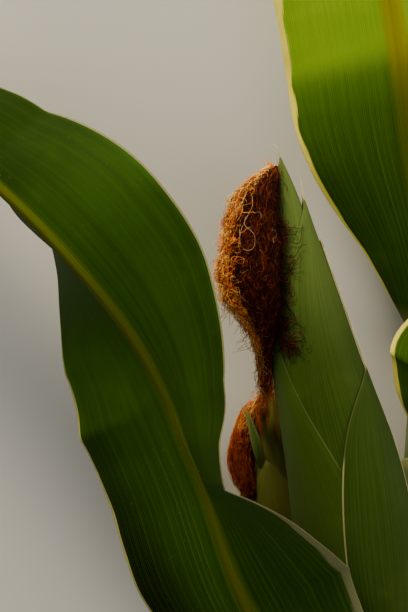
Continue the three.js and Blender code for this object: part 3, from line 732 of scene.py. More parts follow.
def crinkle(leaf, reach, v, half):
    """Small uneven waves that grow towards the margins."""
    rng = np.random.default_rng(leaf["seed"])
    near = np.abs(v) ** BLADE["crinkle_curve"] * np.minimum(1, half / BLADE["crinkle_half"])
    left, right = (
        sum(size * wavy(rng, length, len(reach)) for size, length in BLADE["crinkles"])
        for _ in range(2))
    return near * np.where(v < 0, left[:, None], right[:, None])


def blade_columns():
    """Shares of the half width, closer together at the midrib and at the margins."""
    steps = np.linspace(-1, 1, BLADE["columns"])
    at_rib = np.sign(steps) * np.abs(steps) ** BLADE["packing"]
    at_margins = np.sin(steps * math.pi / 2)
    return at_rib * BLADE["packed"] + at_margins * (1 - BLADE["packed"])


def by_reach(pairs, reach):
    """Values at distances from the collar, from pairs of a distance and a value."""
    distances, values = np.array(pairs, float).T
    return np.interp(reach, distances, values)


def make_blade(leaf):
    """One blade: a raised midrib, fine raised veins and thin margins."""
    steps = np.linspace(0, 1, BLADE["rows"])
    shares = BLADE["even_rows"] * steps + (1 - BLADE["even_rows"]) * steps**2
    across = blade_columns()
    grid, half, length = blade_middle(leaf, shares, across)
    rib = np.abs(across) * half
    edge = (1 - np.abs(across)) * half
    keel = blend(BLADE["keel_base"], BLADE["keel_tip"], np.sqrt(shares))[:, None]
    ridge = np.clip(1 - (rib / BLADE["keel_half"]) ** 2, 0, 1) ** BLADE["keel_curve"]
    rng = np.random.default_rng(100 + leaf["seed"])
    vein = fine_relief(rng, len(shares), len(across), BLADE["vein_patches"])
    vein = BLADE["vein_height"] * vein * smoothstep(edge / BLADE["vein_over"])
    thin = blend(BLADE["edge"], BLADE["half_thickness"], smoothstep(edge / BLADE["edge_over"]))
    outer = thin + ridge * np.minimum(keel, 0.5 * half) + vein
    inner = thin - BLADE["keel_hollow"] * ridge + BLADE["vein_below"] * vein
    inner = np.maximum(inner, BLADE["least"])
    blade = sheet(f"{leaf['name']}_blade", grid, outer, inner, BLADE_LOOK)

    reach = (shares * length)[:, None]
    uneven = 1 + BLADE["margin_uneven"] * wavy(rng, BLADE["margin_wave"], len(shares))[:, None]
    left, right = (by_reach(leaf[side], reach) for side in ("left_margin", "right_margin"))
    margin = np.where(across < 0, left, right) * uneven
    light = by_reach(leaf["light"], reach) * (1 - BLADE["light_across"] * across)
    for side, out in (("left_shade", -across), ("right_shade", across)):
        if side in leaf:
            near = smoothstep((out - BLADE["shade_from"]) / (1 - BLADE["shade_from"]))
            light = light - by_reach(leaf[side], reach) * near
    add_fields(
        blade, rib.shape, 2, across * leaf["half_width"], reach, rib=rib * leaf["rib"],
        edge=edge / margin, reach=reach, light=light, pale=np.where(across < 0, *leaf["pale"]))
    hand_in(blade, "blade", *(f"{leaf['name']}_{part}" for part in ("base", "middle", "tip")))


# Stalk and sheaths

def stalk_axis(y):
    """Points on the stalk's axis: it leans, and is bent below its middle."""
    up = y - STALK["bend_at"]
    x = STALK["middle"] + STALK["lean"] * up - STALK["bend"] * np.minimum(0, up) ** 2
    return np.stack([x, y, np.full_like(y, STALK["height"])], -1)


def plain_radius(y):
    share = (y - STALK_FOOT) / (STALK_TOP - STALK_FOOT)
    return blend(STALK["foot_radius"], STALK["top_radius"], share)


def bumps(y, below, reach):
    """1 at each joint, or some way below it, fading out over reach."""
    return sum(np.exp(-(((y - k + below) / reach) ** 2)) for k in KNUCKLES)


def spoke(angle):
    """A direction out of the stalk, turned by angle from straight up towards the right."""
    return np.stack([np.sin(angle), np.zeros_like(angle), np.cos(angle)], -1)


def make_stalk():
    """The rind as one tube with swollen joints and a groove up each length, and its cut ends."""
    rings, sides = STALK["rings"], STALK["sides"]
    y = np.linspace(STALK_FOOT, STALK_TOP, rings)
    angles = np.linspace(0, 2 * np.pi, sides, endpoint=False)
    span = np.searchsorted(KNUCKLES, y)
    low = np.array([STALK_FOOT, *KNUCKLES])[span]
    high = np.array([*KNUCKLES, STALK_TOP])[span]
    within = np.clip((y - low) / (high - low), 0, 1)
    deep = (1 - within) ** GROOVE["curve"] * smoothstep(within * GROOVE["rise"])
    middle = np.radians(np.array(GROOVE["sides"])[span])[:, None]
    turn = (angles - middle + np.pi) % (2 * np.pi) - np.pi
    groove = GROOVE["depth"] * deep[:, None] * np.exp(-((turn / np.radians(GROOVE["width"])) ** 2))
    pinch = STALK["pinch"] * bumps(y, STALK["pinch_below"], STALK["pinch_reach"])
    swell = KNUCKLE_SWELL * bumps(y, 0, KNUCKLE_REACH)
    radius = (plain_radius(y) + swell - pinch)[:, None] - groove
    rng = np.random.default_rng(21)
    radius = radius + STALK["uneven"] * rng.standard_normal(sides)
    out = np.stack([np.cos(angles), np.zeros(sides), np.sin(angles)], -1)
    points = stalk_axis(y)[:, None, :] + out * radius[..., None]
    faces = [face[::-1] for face in tube_faces(rings, sides)]
    rind = new_object("stalk_rind", points.reshape(-1, 3), faces, STALK_LOOK)
    rind.data.materials.append(PITH_LOOK)
    for face in rind.data.polygons[-2:]:
        face.material_index = 1
        face.use_smooth = False
    along = y[:, None]
    nearest = np.min(np.abs(along - np.array(KNUCKLES)), axis=1)[:, None]
    add_fields(rind, (rings, sides), 1, angles * STALK["foot_radius"], along, edge=nearest)
    hand_in(rind, "stalk", "stalk")


def sheath_grid(leaf, us, vs):
    """A slit tube round the stalk, from its joint to its collar: its middle and its margins."""
    low, following = (KNUCKLES[leaf["knuckle"] + k] for k in (0, 1))
    u = us[:, None]
    turn = vs * np.radians(180 - blend(SHEATH["slit_low"], SHEATH["slit_high"], u))
    top = leaf["collar"] - SHEATH["edge_drop"] * (1 - np.cos(turn)) / 2
    y = blend(low, top, u)
    step = smoothstep((y - following + SHEATH["step_from"]) / SHEATH["step_length"])
    off = KNUCKLE_SWELL + SHEATH["room"] + SHEATH["step_out"] * step + SHEATH["lift"]
    radius = plain_radius(y) + off
    out = spoke(math.atan2(*leaf["facing"]) + turn)
    return stalk_axis(y) + out * radius[..., None], radius * (np.pi - np.abs(turn))


def channel_grid(us, vs):
    """The open channel along the ears' stem, whose margins stop where they meet the stalk."""
    middle = math.atan2(*CHANNEL["facing"])
    centre, _ = Path(CHANNEL["path"]).at(us)
    radius, open_side, stalk_side = (
        even(CHANNEL[key], us)[:, None] for key in ("radius", "open_side", "stalk_side"))
    y = centre[:, 1]
    near = plain_radius(y) + KNUCKLE_SWELL * bumps(y, 0, KNUCKLE_REACH)
    near = (near + SHEATH["wall"] + SHEATH["room"])[:, None]
    side = np.where(vs < 0, -1.0, 1.0)
    reach = np.where(vs < 0, open_side, stalk_side)
    # Each turn of the loop draws the margins in by a degree where they are too near the stalk.
    for _ in range(max(CHANNEL["stalk_side"])):
        ends = centre[:, None, :] + radius[..., None] * spoke(middle + np.radians(side * reach))
        away = np.linalg.norm(ends - stalk_axis(y)[:, None, :], axis=-1)
        reach = np.where((away < near) & (reach > 0), reach - 1, reach)
    grid = centre[:, None, :] + spoke(middle + vs * np.radians(reach)) * radius[..., None]
    return grid, radius * np.radians(reach) * (1 - np.abs(vs))


def make_sheath(leaf):
    """A ribbed sheath, thicker down its back and thin at its margins."""
    us = np.linspace(0, 1, SHEATH["rows"])
    vs = np.linspace(-1, 1, SHEATH["columns"])
    grid, edge = sheath_grid(leaf, us, vs) if "knuckle" in leaf else channel_grid(us, vs)
    ribs = SHEATH["rib_height"] * (0.5 + 0.5 * np.cos(vs * 2 * np.pi * SHEATH["ribs"])) ** 2
    back = SHEATH["back_height"] * np.exp(-((vs / SHEATH["back_half"]) ** 2))
    thin = blend(SHEATH["edge"], SHEATH["wall"] / 2, smoothstep(edge / SHEATH["edge_over"]))
    outer = thin + ribs * smoothstep(edge / SHEATH["rib_over"])
    outer = outer + back * smoothstep(us * SHEATH["back_rise"])[:, None]
    skin = sheet(f"{leaf['name']}_sheath_skin", grid, outer, thin, SHEATH_LOOK)
    y = grid[..., 1]
    from_collar = (1 - us)[:, None] * (y.max() - y.min())
    add_fields(skin, edge.shape, 2, vs * SHEATH["map_half"], y, edge=edge, reach=from_collar)
    hand_in(skin, "sheath", f"{leaf['name']}_sheath")


# Ears

EAR = {"outline_steps": 240, "every": 8, "clear_from": 2.0}


class Ear:
    """Places on an ear: how far below its tip, the angle round it from the front, a radius."""

    def __init__(self, ear):
        self.path = Path(ear["axis"])
        self.length = self.path.length
        below, radius = np.array(ear["outline"], float).T
        knots = np.arange(len(below))
        fine = np.linspace(0, len(below) - 1, EAR["outline_steps"])
        self.below = spline(knots, below, fine)
        self.radii = spline(knots, radius, fine)

    def radius(self, below):
        """The radius of the husked ear at distances below its tip."""
        return np.interp(below, self.below, self.radii)

    def place(self, below, angle, radius):
        point, _, front, right = self.path.frame(1 - np.asarray(below) / self.length)
        turn = np.radians(angle)[..., None]
        return point + radius[..., None] * (front * np.cos(turn) + right * np.sin(turn))

    def where(self, points):
        """How far below the tip points lie, and how far from the axis and which way."""
        every = EAR["every"]
        apart = points[:, None, :] - self.path.points[None, ::every]
        nearest = np.argmin(np.einsum("ijk,ijk->ij", apart, apart), axis=1)
        below = self.length - self.path.along[::every][nearest]
        out = apart[np.arange(len(points)), nearest]
        distance = np.linalg.norm(out, axis=1)
        return below, distance, out / np.maximum(distance, TINY)[:, None]

    def clear(self, points, margin):
        """Points moved straight out of the ear until they stand margin off its husk."""
        below, distance, out = self.where(points)
        inside = (below > EAR["clear_from"]) & (below < self.length)
        need = np.where(inside, np.maximum(0, self.radius(below) + margin - distance), 0)
        return points + out * need[:, None]


def spline(knots, values, at):
    """A Catmull-Rom line through values at whole-numbered knots."""
    padded = np.concatenate([[values[0]], values, [values[-1]]])
    i = np.minimum(at.astype(int), len(knots) - 2)
    w = at - i
    a, b, c, d = (padded[i + k] for k in range(4))
    leave = (c - a) / 2
    arrive = (d - b) / 2
    cubic = 2 * b - 2 * c + leave + arrive
    square = 3 * c - 3 * b - 2 * leave - arrive
    return cubic * w**3 + square * w**2 + leave * w + b


def husk_grid(ear, husk, us, vs):
    """A husk leaf's middle surface, with its half width and how far below the tip each row is."""
    below = blend(ear.length, husk["tip"], us)[:, None]
    past = below - husk["tip"]
    opened = 1 - np.exp(-np.maximum(0, past) / husk["opening"])
    over = -HUSK["wall"] / 2 + husk["off"]
    over = over + husk["flare"] * np.exp(-past / HUSK["flare_over"])
    radius = np.maximum(ear.radius(below) + over, HUSK["least_radius"])
    spread = husk["spread"] * opened + HUSK["tip_half"] * np.minimum(1, past / HUSK["tip_over"])
    angle = husk["middle"] + husk["turn"] * (1 - opened) + vs * spread
    half = np.radians(spread) * radius
    edge = half * (1 - np.abs(vs))
    press = husk.get("press", HUSK["press"])
    radius = radius - press * (1 - smoothstep(edge / HUSK["press_over"]))
    return ear.place(below + 0 * angle, angle, radius), half, below


def make_husk(ear_data, ear, husk, seed):
    """One husk leaf: thin, finely veined and slightly uneven."""
    rng = np.random.default_rng(seed)
    us = 1 - (1 - np.linspace(0, 1, HUSK["rows"])) ** HUSK["packing"]
    vs = np.linspace(-1, 1, HUSK["columns"])
    grid, half, below = husk_grid(ear, husk, us, vs)
    edge = (1 - np.abs(vs)) * half
    veins = HUSK["vein_height"] * fine_relief(rng, len(us), len(vs), HUSK["vein_patches"])
    thin = blend(HUSK["edge"], HUSK["wall"] / 2, smoothstep(edge / HUSK["edge_over"]))
    swell = HUSK["swell"] * wavy(rng, HUSK["swell_length"], len(us))[:, None]
    swell = swell * np.cos(vs * HUSK["swell_turns"] + seed) * smoothstep(edge / HUSK["swell_over"])
    outer = thin + veins * smoothstep(edge / HUSK["vein_over"]) + swell
    name = f"{ear_data['name']}_husk_leaf_{husk['name']}"
    leaf = sheet(name, grid, outer, thin - swell, HUSK_LOOK)
    lower = smoothstep((below - HUSK["pale_from"]) / HUSK["pale_over"])
    add_fields(
        leaf, edge.shape, 2, vs * half.max(), below, edge=edge, reach=below - husk["tip"],
        below=below, dry=husk["dry"], pale=husk["pale"] + husk.get("pale_low", 0.0) * lower,
        tone=husk.get("tone", 0.0) * (1 - np.abs(vs)))
    hand_in(leaf, "husk")
    return leaf


def make_free_husk(husk):
    """A narrow husk leaf, bowed across, whose tip stands off the second ear."""
    path = Path(husk["path"])
    us = np.linspace(0, 1, FREE_WALL["rows"])
    vs = np.linspace(-1, 1, FREE_WALL["columns"])
    point, _, front, right = (a[:, None, :] for a in path.frame(us))
    half = even(husk["half"], path.knot(us))[:, None]
    drop = husk["bowl"] * half * vs**2 / 2
    grid = point + right * (half * vs)[..., None] - front * drop[..., None]
    veins = fine_lines(np.random.default_rng(77), len(vs))
    thin = FREE_WALL["half"] + FREE_WALL["vein_height"] * veins + 0 * half
    leaf = sheet(f"second_ear_husk_leaf_{husk['name']}", grid, thin, thin, HUSK_LOOK)
    from_tip = (1 - us)[:, None] * path.length
    add_fields(
        leaf, thin.shape, 2, half * vs, from_tip, edge=half * (1 - np.abs(vs)), reach=from_tip,
        below=from_tip, dry=husk["dry"], pale=husk["pale"])
    hand_in(leaf, "husk")


def make_stem(ear_data):
    """The short stem that carries an ear, finely ribbed."""
    path = Path(ear_data["stem"])
    us = np.linspace(0, 1, STEM["rings"])
    point, _, front, right = (a[:, None, :] for a in path.frame(us))
    turn = np.linspace(0, 2 * np.pi, STEM["sides"], endpoint=False)
    ribs = STEM["rib_height"] * np.cos(turn * STEM["ribs"])
    radius = even(ear_data["stem_radius"], us)[:, None] + ribs
    ring = np.cos(turn)[:, None] * front + np.sin(turn)[:, None] * right
    points = (point + ring * radius[..., None]).reshape(-1, 3)
    faces = tube_faces(STEM["rings"], STEM["sides"])
    stem = new_object(f"{ear_data['name']}_shank", points, faces, STALK_LOOK)
    along = us[:, None] * path.length
    add_fields(stem, radius.shape, 1, turn * STEM["map_radius"], along, edge=STEM["from_joint"])
    hand_in(stem, "stalk", f"{ear_data['name']}_stem")


# Silk

FRIZZ_FINENESS = 3.4  # how much finer the frizz is than the curl


def strand_tree():
    """Geometry Nodes: each guide path becomes a lock of thin, curled, tapering strands."""
    tree = bpy.data.node_groups.new("silk_strands", "GeometryNodeTree")
    sockets = (
        ("Guides", "NodeSocketGeometry"), ("Strands", "NodeSocketInt"), ("Step", "NodeSocketFloat"),
        ("Spread", "NodeSocketFloat"), ("Curl", "NodeSocketFloat"), ("Curl scale", "NodeSocketFloat"),
        ("Frizz", "NodeSocketFloat"), ("Radius", "NodeSocketFloat"), ("Seed", "NodeSocketInt"),
        ("Finish", "NodeSocketMaterial"),
    )
    for label, kind in sockets:
        tree.interface.new_socket(label, in_out="INPUT", socket_type=kind)
    tree.interface.new_socket("Strands", in_out="OUTPUT", socket_type="NodeSocketGeometry")

    def node(kind, wired=None, **settings):
        return add_node(tree, kind, wired, **settings).outputs

    def vector(operation, a, b):
        return node("ShaderNodeVectorMath", {0: a, 1: b}, operation=operation)["Vector"]

    def product(a, b):
        return node("ShaderNodeMath", {0: a, 1: b}, operation="MULTIPLY")[0]

    def stored(name):
        return node("GeometryNodeInputNamedAttribute", {"Name": name}, data_type="FLOAT")["Attribute"]

    def sized(way, size, field):
        """A direction times a size and a number that the guides carry."""
        wired = {0: way, "Scale": product(size, stored(field))}
        return node("ShaderNodeVectorMath", wired, operation="SCALE")["Vector"]

    given = node("NodeGroupInput")
    curves = node("GeometryNodeMeshToCurve", {"Mesh": given["Guides"]})["Curve"]
    wired = {"Curve": curves, "Length": given["Step"]}
    curves = node("GeometryNodeResampleCurve", wired, mode="LENGTH")["Curve"]
    wired = {"Geometry": curves, "Amount": given["Strands"]}
    copies = node("GeometryNodeDuplicateElements", wired, domain="SPLINE")["Geometry"]

    index = node("GeometryNodeInputIndex")["Index"]
    wired = {0: (-1, -1, -1), 1: (1, 1, 1), "ID": index, "Seed": given["Seed"]}
    chance = node("FunctionNodeRandomValue", wired, data_type="FLOAT_VECTOR")[0]
    own = node("GeometryNodeFieldOnDomain", {0: chance}, data_type="FLOAT_VECTOR", domain="CURVE")[0]
    shifted = vector("ADD", node("GeometryNodeInputPosition")["Position"], own)

    def wander(scale, size):
        wired = {"Vector": shifted, "Scale": scale, "Detail": 1.0}
        noise = node("ShaderNodeTexNoise", wired)["Color"]
        return sized(vector("SUBTRACT", noise, (0.5, 0.5, 0.5)), size, "curl")

    finer = product(given["Curl scale"], FRIZZ_FINENESS)
    bent = vector("ADD", wander(given["Curl scale"], given["Curl"]), wander(finer, given["Frizz"]))
    offset = vector("ADD", sized(own, given["Spread"], "loose"), bent)
    moved = node("GeometryNodeSetPosition", {"Geometry": copies, "Offset": offset})["Geometry"]

    wired = {"Resolution": 3, "Radius": given["Radius"]}
    ring = node("GeometryNodeCurvePrimitiveCircle", wired, mode="RADIUS")["Curve"]
    wired = {"Curve": moved, "Profile Curve": ring, "Scale": stored("thick"), "Fill Caps": True}
    skin = node("GeometryNodeCurveToMesh", wired)["Mesh"]
    smooth = node("GeometryNodeSetShadeSmooth", {"Geometry": skin})["Geometry"]
    whole = node("GeometryNodeRealizeInstances", {"Geometry": smooth})["Geometry"]
    wired = {"Geometry": whole, "Material": given["Finish"]}
    finished = node("GeometryNodeSetMaterial", wired)["Geometry"]
    node("NodeGroupOutput", {0: finished})
    return tree


STRANDS = strand_tree()


def guides_object(name, guides):
    """Guide paths as loose edges. Each guide is its points, and how loose and curly each is."""
    points = np.concatenate([g["points"] for g in guides])
    edges = []
    start = 0
    for g in guides:
        count = len(g["points"])
        edges += [(start + i, start + i + 1) for i in range(count - 1)]
        start += count
    mesh = bpy.data.meshes.new(name)
    mesh.from_pydata(((points + SHIFT) * MM).tolist(), edges, [])
    for key in ("loose", "curl", "thick"):
        field = mesh.attributes.new(key, "FLOAT", "POINT")
        field.data.foreach_set("value", np.concatenate([g[key] for g in guides]).astype(np.float32))
    made = bpy.data.objects.new(name, mesh)
    bpy.context.scene.collection.objects.link(made)
    return made


def strands(name, guides, finish, slot="silk", **sizes):
    """Runs the strand tree on guides and keeps its result as a plain mesh."""
    host = guides_object(f"{name}_guides", guides)
    modifier = host.modifiers.new("strands", "NODES")
    modifier.node_group = STRANDS
    given = {"Strands": 1, "Step": 1.3 * MM, "Spread": 1.5 * MM, "Curl": 5.0 * MM, "Curl scale": 150.0,
             "Frizz": 1.6 * MM, "Radius": 0.12 * MM, "Seed": 1, "Finish": finish, **sizes}
    for socket in STRANDS.interface.items_tree:
        if socket.in_out == "INPUT" and socket.name in given:
            modifier[socket.identifier] = given[socket.name]
    graph = bpy.context.evaluated_depsgraph_get()
    graph.update()
    mesh = bpy.data.meshes.new_from_object(host.evaluated_get(graph))
    host.modifiers.remove(modifier)
    bpy.data.objects.remove(host)
    mesh.name = name
    piece = bpy.data.objects.new(name, mesh)
    bpy.context.scene.collection.objects.link(piece)
    hand_in(piece, slot)


STRAND_RADIUS = 0.11
FINE = {"Strands": 1, "Spread": 0.0, "Curl": 0.8 * MM, "Frizz": 0.4 * MM, "Step": 0.6 * MM}


def fine_strands(name, guides, finish, radius=STRAND_RADIUS, slot="silk"):
    """Single thin strands of the given radius, one for each guide."""
    strands(name, guides, finish, slot, Radius=radius * MM, **FINE)


main_ear = Ear(MAIN_EAR)
second_ear = Ear(SECOND_EAR)

# A tuft's path runs from where it leaves the husk to its end, and flat is its thickness as a
# share of its width. lock_sizes are its locks' spread, curl, frizz and step. Each row of locks is
# a name, a look, the number of guides, their angles, depths and ends, the strands for each guide
# and how wild they are. Each row of curls is a name, a look, the number of strands, their angles,
# places and lengths, how tightly they curl, their radius and how loose they are.
# In the upper tuft, the gold and amber on its left and upper side are partly painted highlights of
# light through the strands, and the dark and brown on its right side partly painted shade.
MAIN_SILK = {
    "path": (
        (35, 70, 60.5), (31, 64, 63), (25.5, 52, 66), (23.2, 39, 69), (23, 27, 70.5), (22, 15, 71),
        (24, 4, 70), (27.6, -6, 68), (29.6, -16, 65), (30.6, -27, 60), (29.6, -44, 50),
    ),
    "radius": (2.2, 6.0, 11.0, 12.8, 14.0, 15.4, 13.6, 9.0, 5.0, 2.8, 2.0),
    "flat": 0.85,
    "lock_sizes": (2.2, 3.6, 2.0, 1.2),
    "locks": (
        ("dark", "dark", 44, (-60, 150), (0.55, 0.98), (0.6, 1.0), 7, 1.6),
        ("brown", "brown", 56, (-50, 235), (0.68, 0.92), (0.5, 1.0), 5, 1.9),
        ("rust", "rust", 34, (0, 190), (0.82, 0.96), (0.4, 0.95), 2, 2.0),
        ("copper", "copper", 46, (140, 245), (0.74, 0.92), (0.3, 0.85), 4, 2.2),
        ("gold", "gold", 20, (152, 230), (0.84, 0.98), (0.3, 0.72), 1, 2.4),
    ),
    "curls": (
        ("curls_amber", "amber", 900, (118, 208), (0.02, 0.93), (7, 16), 1.1, 0.17, 0.44),
        ("curls_gold", "gold", 700, (144, 196), (0.02, 0.88), (7, 16), 1.2, 0.21, 0.5),
        ("curls_rust", "rust", 300, (40, 160), (0.06, 0.9), (6, 15), 0.9, 0.13, 0.25),
        ("curls_brown", "brown", 440, (-70, 110), (0.06, 0.95), (6, 16), 0.9, 0.13, 0.8),
        ("curls_dark", "dark", 380, (-70, 90), (0.06, 0.95), (6, 16), 0.9, 0.13, 0.8),
    ),
}
# The lower tuft's copper, ember, amber and gold are partly painted light: brighter tones that make up
# for the shade the left leaf casts on it.
SECOND_SILK = {
    "path": (
        (32, -46.5, 23), (27.6, -49.5, 26), (24, -54, 27.5), (21.8, -61, 28), (20.6, -70, 28),
        (19.8, -77, 28), (20.4, -84, 28.6), (22, -91, 30), (25, -100, 33),
    ),
    "radius": (1.5, 2.6, 3.2, 4.4, 5.8, 6.6, 6.6, 5.6, 3.2),
    "flat": 0.85,
    "lock_sizes": (1.0, 3.0, 1.4, 1.3),
    "locks": (
        ("dark", "dark", 24, (-40, 110), (0.6, 0.9), (0.6, 1.0), 6, 1.0),
        ("brown", "brown", 34, (-20, 150), (0.7, 1.0), (0.6, 1.0), 5, 1.0),
        ("copper", "copper", 66, (100, 250), (0.85, 1.06), (0.3, 0.62), 4, 1.0),
        ("rust", "ember", 60, (70, 230), (0.88, 1.06), (0.7, 1.0), 4, 1.0),
        ("gold", "gold", 60, (20, 220), (0.85, 1.12), (0.22, 0.42), 4, 1.0),
        ("amber", "copper", 26, (165, 215), (0.98, 1.1), (0.3, 0.85), 3, 1.0),
    ),
    "curls": (
        ("curls_copper", "copper", 200, (60, 250), (0.0, 0.5), (4, 10), 0.9, 0.13, 0.3),
        ("curls_gold", "gold", 160, (60, 250), (0.0, 0.35), (4, 10), 0.9, 0.13, 0.3),
        ("curls_rust", "rust", 160, (60, 250), (0.3, 0.95), (4, 10), 0.9, 0.13, 0.3),
    ),
}
TAIL = (
    (30.6, -14, 65), (31.2, -25, 60), (31.4, -35, 55), (31.2, -43, 47), (29, -48, 36), (22.5, -55, 29),
)
# Locks of the second silk to the right of its small free leaf, in ember, copper and amber, partly
# painted light like the rest of the lower tuft.
SIDE_LOCKS = (
    ((30.6, -46.5, 31), (28.6, -52.5, 33.5), (27.8, -58, 35.8), (28.8, -64, 36.6), (30, -68, 36.6)),
    ((31.4, -44, 38), (32, -49.5, 32.5), (32.4, -55, 31), (33, -62, 32.4)),
    ((34.6, -37, 50), (35, -43, 45), (33.4, -47.5, 39), (31.6, -51.5, 33.5), (30.6, -56, 31)),
)
EDGE_STRANDS = ((33, -26, 60), (34, -37, 58), (35.6, -51, 57), (37.2, -68, 56))
# A painted highlight: a bright line of gold strands over the tuft's upper side.
PAINTED_HIGHLIGHT_RIDGE = ((30, 67), (25, 61.5), (22, 58), (20, 54.7), (17.6, 49.3), (15.9, 45.4), (13, 39))
LOOP = (
    (23.6, 54), (23.4, 48.5), (22, 45.4), (18.6, 38.5), (17.3, 33.2), (18, 29), (20, 27), (22.3, 27),
    (23.7, 27.9), (24.6, 31), (24.3, 34.4), (22, 37.2), (20.4, 38.2), (19.6, 40.5), (20.6, 43.6),
)
HOOK = ((33, 37), (34.6, 36.8), (35.6, 35.6), (34.8, 33.6), (33.6, 32.8), (33.9, 30.6))
OFF_HUSK = 0.8  # how far curls stand off a husk
CLOSE_TO_HUSK = 0.5  # how far the tail's strands do
# A lock's guides: where they start, how they turn and sway round the tuft, in degrees, and how
# their depth changes.
LOCK = {
    "points": 32, "start": 0.05, "turn": 20, "sway": 13, "sway_wave": 8, "deepen": 0.1,
    "deepen_wave": 6, "off_more": 1.5, "loose_over": 0.15, "curl_over": 0.25, "thinner": 0.4,
}
# A curl's step, the changing and the steady part of its bend, and how its axis starts and drifts.
CURL = {
    "step": 0.6, "bend": 0.9, "bend_wave": 6, "steady": 0.4, "axis": (0.5, 0.5, 1.0), "drift": 0.1,
}
# A tuft's dark heart: its depth is a share of the tuft's radius.
HEART = {
    "ends": (0.02, 0.97), "depth": 0.74, "rings": 60, "sides": 36, "grooves": 9, "groove": 0.06,
    "first_groove": 60, "uneven": 0.04, "off": 0.4, "dark": "#140502", "light": "#2e0e04",
}
HELD = {"share": 0.98, "slack": 0.4, "samples": 300}  # how a tuft holds its curls in
CLUSTER = (43.5, -19.5)  # the middle of a small tangle on the husk
CROWN = (34.4, 69.6, 60.5)  # where the main tuft leaves the husk's tip
# Each husk point: its thickness at the foot as a share of a strand's, and its path.
HUSK_POINTS = (
    (3.6, ((38, 73.6, 58.5), (37, 77.7, 59.5), (35.4, 79.9, 60), (33.4, 80.5, 60), (32.1, 79.4, 60))),
    (3.0, ((37.6, 74, 58.8), (37, 76.5, 60), (37.3, 79, 61))),
    (5.5, ((50, 49.6, 58.5), (48.9, 57.8, 59), (47.7, 66.4, 59.5))),
    (3.0, ((50.4, 49.4, 58), (50, 53, 58.5), (49, 56.5, 59))),
    (2.6, ((95.2, -71.6, 57), (96.6, -73.6, 57.5), (98.2, -74.4, 58))),
    (3.0, ((33.8, -47, 25), (33.9, -43.6, 25.5))),
    (2.4, ((20, -51.6, 31.8), (19, -48.8, 31.8))),
)
HUSK_TUFT = (78.8, -30.5, 60.5)
# A pale line down the outline of the main ear, partly the husk's pale edge and partly a painted rim
# highlight: its angles, and how far below the tip it runs.
PALE_EDGE_AND_HIGHLIGHT_LINE = {"angle": (82, 83), "below": (50, 178), "off": 1.15, "thick": 3.0, "points": 60}


class Tuft:
    """Places in a tuft: a share of its length, an angle round it (90 is up) and a depth."""

    def __init__(self, silk):
        self.path = Path(silk["path"])
        self.radii = silk["radius"]
        self.flat = silk["flat"]

    def radius(self, share):
        return even(self.radii, self.path.knot(share))

    def place(self, share, angle, depth):
        centre, _ = self.path.at(share)
        turn = np.radians(angle)
        out = np.stack([np.cos(turn), np.zeros_like(turn), self.flat * np.sin(turn)], -1)
        return centre + out * (self.radius(share) * depth)[..., None]

    def level(self, y):
        """The middle and the radius of the tuft at heights on the page."""
        shares = np.linspace(0, 1, HELD["samples"])
        centre, _ = self.path.at(shares)
        share = np.interp(-y, -centre[:, 1], shares)
        return self.path.at(share)[0], self.radius(share)

    def hold(self, points, most):
        """Points drawn in until none lies further out than most times the tuft's radius."""
        middle, radius = self.level(points[:, 1])
        apart = (points - middle) * (1, 0, 1 / self.flat)
        limit = radius * most + HELD["slack"]
        drawn = np.minimum(1, limit / np.maximum(np.linalg.norm(apart, axis=1), TINY))
        held = middle + apart * drawn[:, None] * (1, 0, self.flat)
        return np.column_stack([held[:, 0], points[:, 1], held[:, 2]])

    def front(self, flat_points, over):
        """Points at the given X and Y, over the tuft's upper side."""
        xy = np.array(flat_points, float)
        middle, radius = self.level(xy[:, 1])
        rise = np.sqrt(np.maximum(radius**2 - (xy[:, 0] - middle[:, 0]) ** 2, 0))
        return np.column_stack([xy, middle[:, 2] + self.flat * rise + over])


def guide(points, loose=0.0, curl=0.2, end_thick=0.5):
    """One guide for the strand tree, from its points."""
    count = len(points)
    thick = blend(1.0, end_thick, np.linspace(0, 1, count))
    return {"points": np.asarray(points, float), "loose": loose * np.ones(count),
            "curl": curl * np.ones(count), "thick": thick}


def locks(rng, tuft, ear, count, side, depth, ends):
    """Guides that run down inside a tuft, within a range of angles, depths and ends."""
    made = []
    for _ in range(count):
        s = np.linspace(rng.uniform(0, LOCK["start"]), rng.uniform(*ends), LOCK["points"])
        turned = rng.uniform(*side) + rng.uniform(-LOCK["turn"], LOCK["turn"]) * s
        turned = turned + LOCK["sway"] * wavy(rng, LOCK["sway_wave"], len(s))
        deep = rng.uniform(*depth) * (1 + LOCK["deepen"] * wavy(rng, LOCK["deepen_wave"], len(s)))
        off = OFF_HUSK + rng.uniform(0, LOCK["off_more"])
        made.append({
            "points": ear.clear(tuft.place(s, turned, deep), off),
            "loose": smoothstep(s / LOCK["loose_over"]) * (0.7 + 0.5 * s),
            "curl": 0.2 + smoothstep(s / LOCK["curl_over"]) * rng.uniform(0.6, 1.1),
            "thick": 1.0 - LOCK["thinner"] * s / s[-1],
        })
    return made


def curly_points(rng, start, heading, length, tightness):
    """A strand from start whose bend keeps changing, so that it curls and loops."""
    step = CURL["step"]
    count = max(4, int(length / step))
    direction = unit(np.array(heading, float))
    axis = unit(rng.normal(size=3) * np.array(CURL["axis"]))
    bend = CURL["bend"] * wavy(rng, CURL["bend_wave"], count) + CURL["steady"] * rng.choice([-1, 1])
    points = [np.array(start, float)]
    for turn in tightness * bend[:-1]:
        axis = unit(axis + CURL["drift"] * rng.normal(size=3))
        direction = unit(direction + turn * step * np.cross(axis, direction))
        points.append(points[-1] + step * direction)
    return np.array(points)


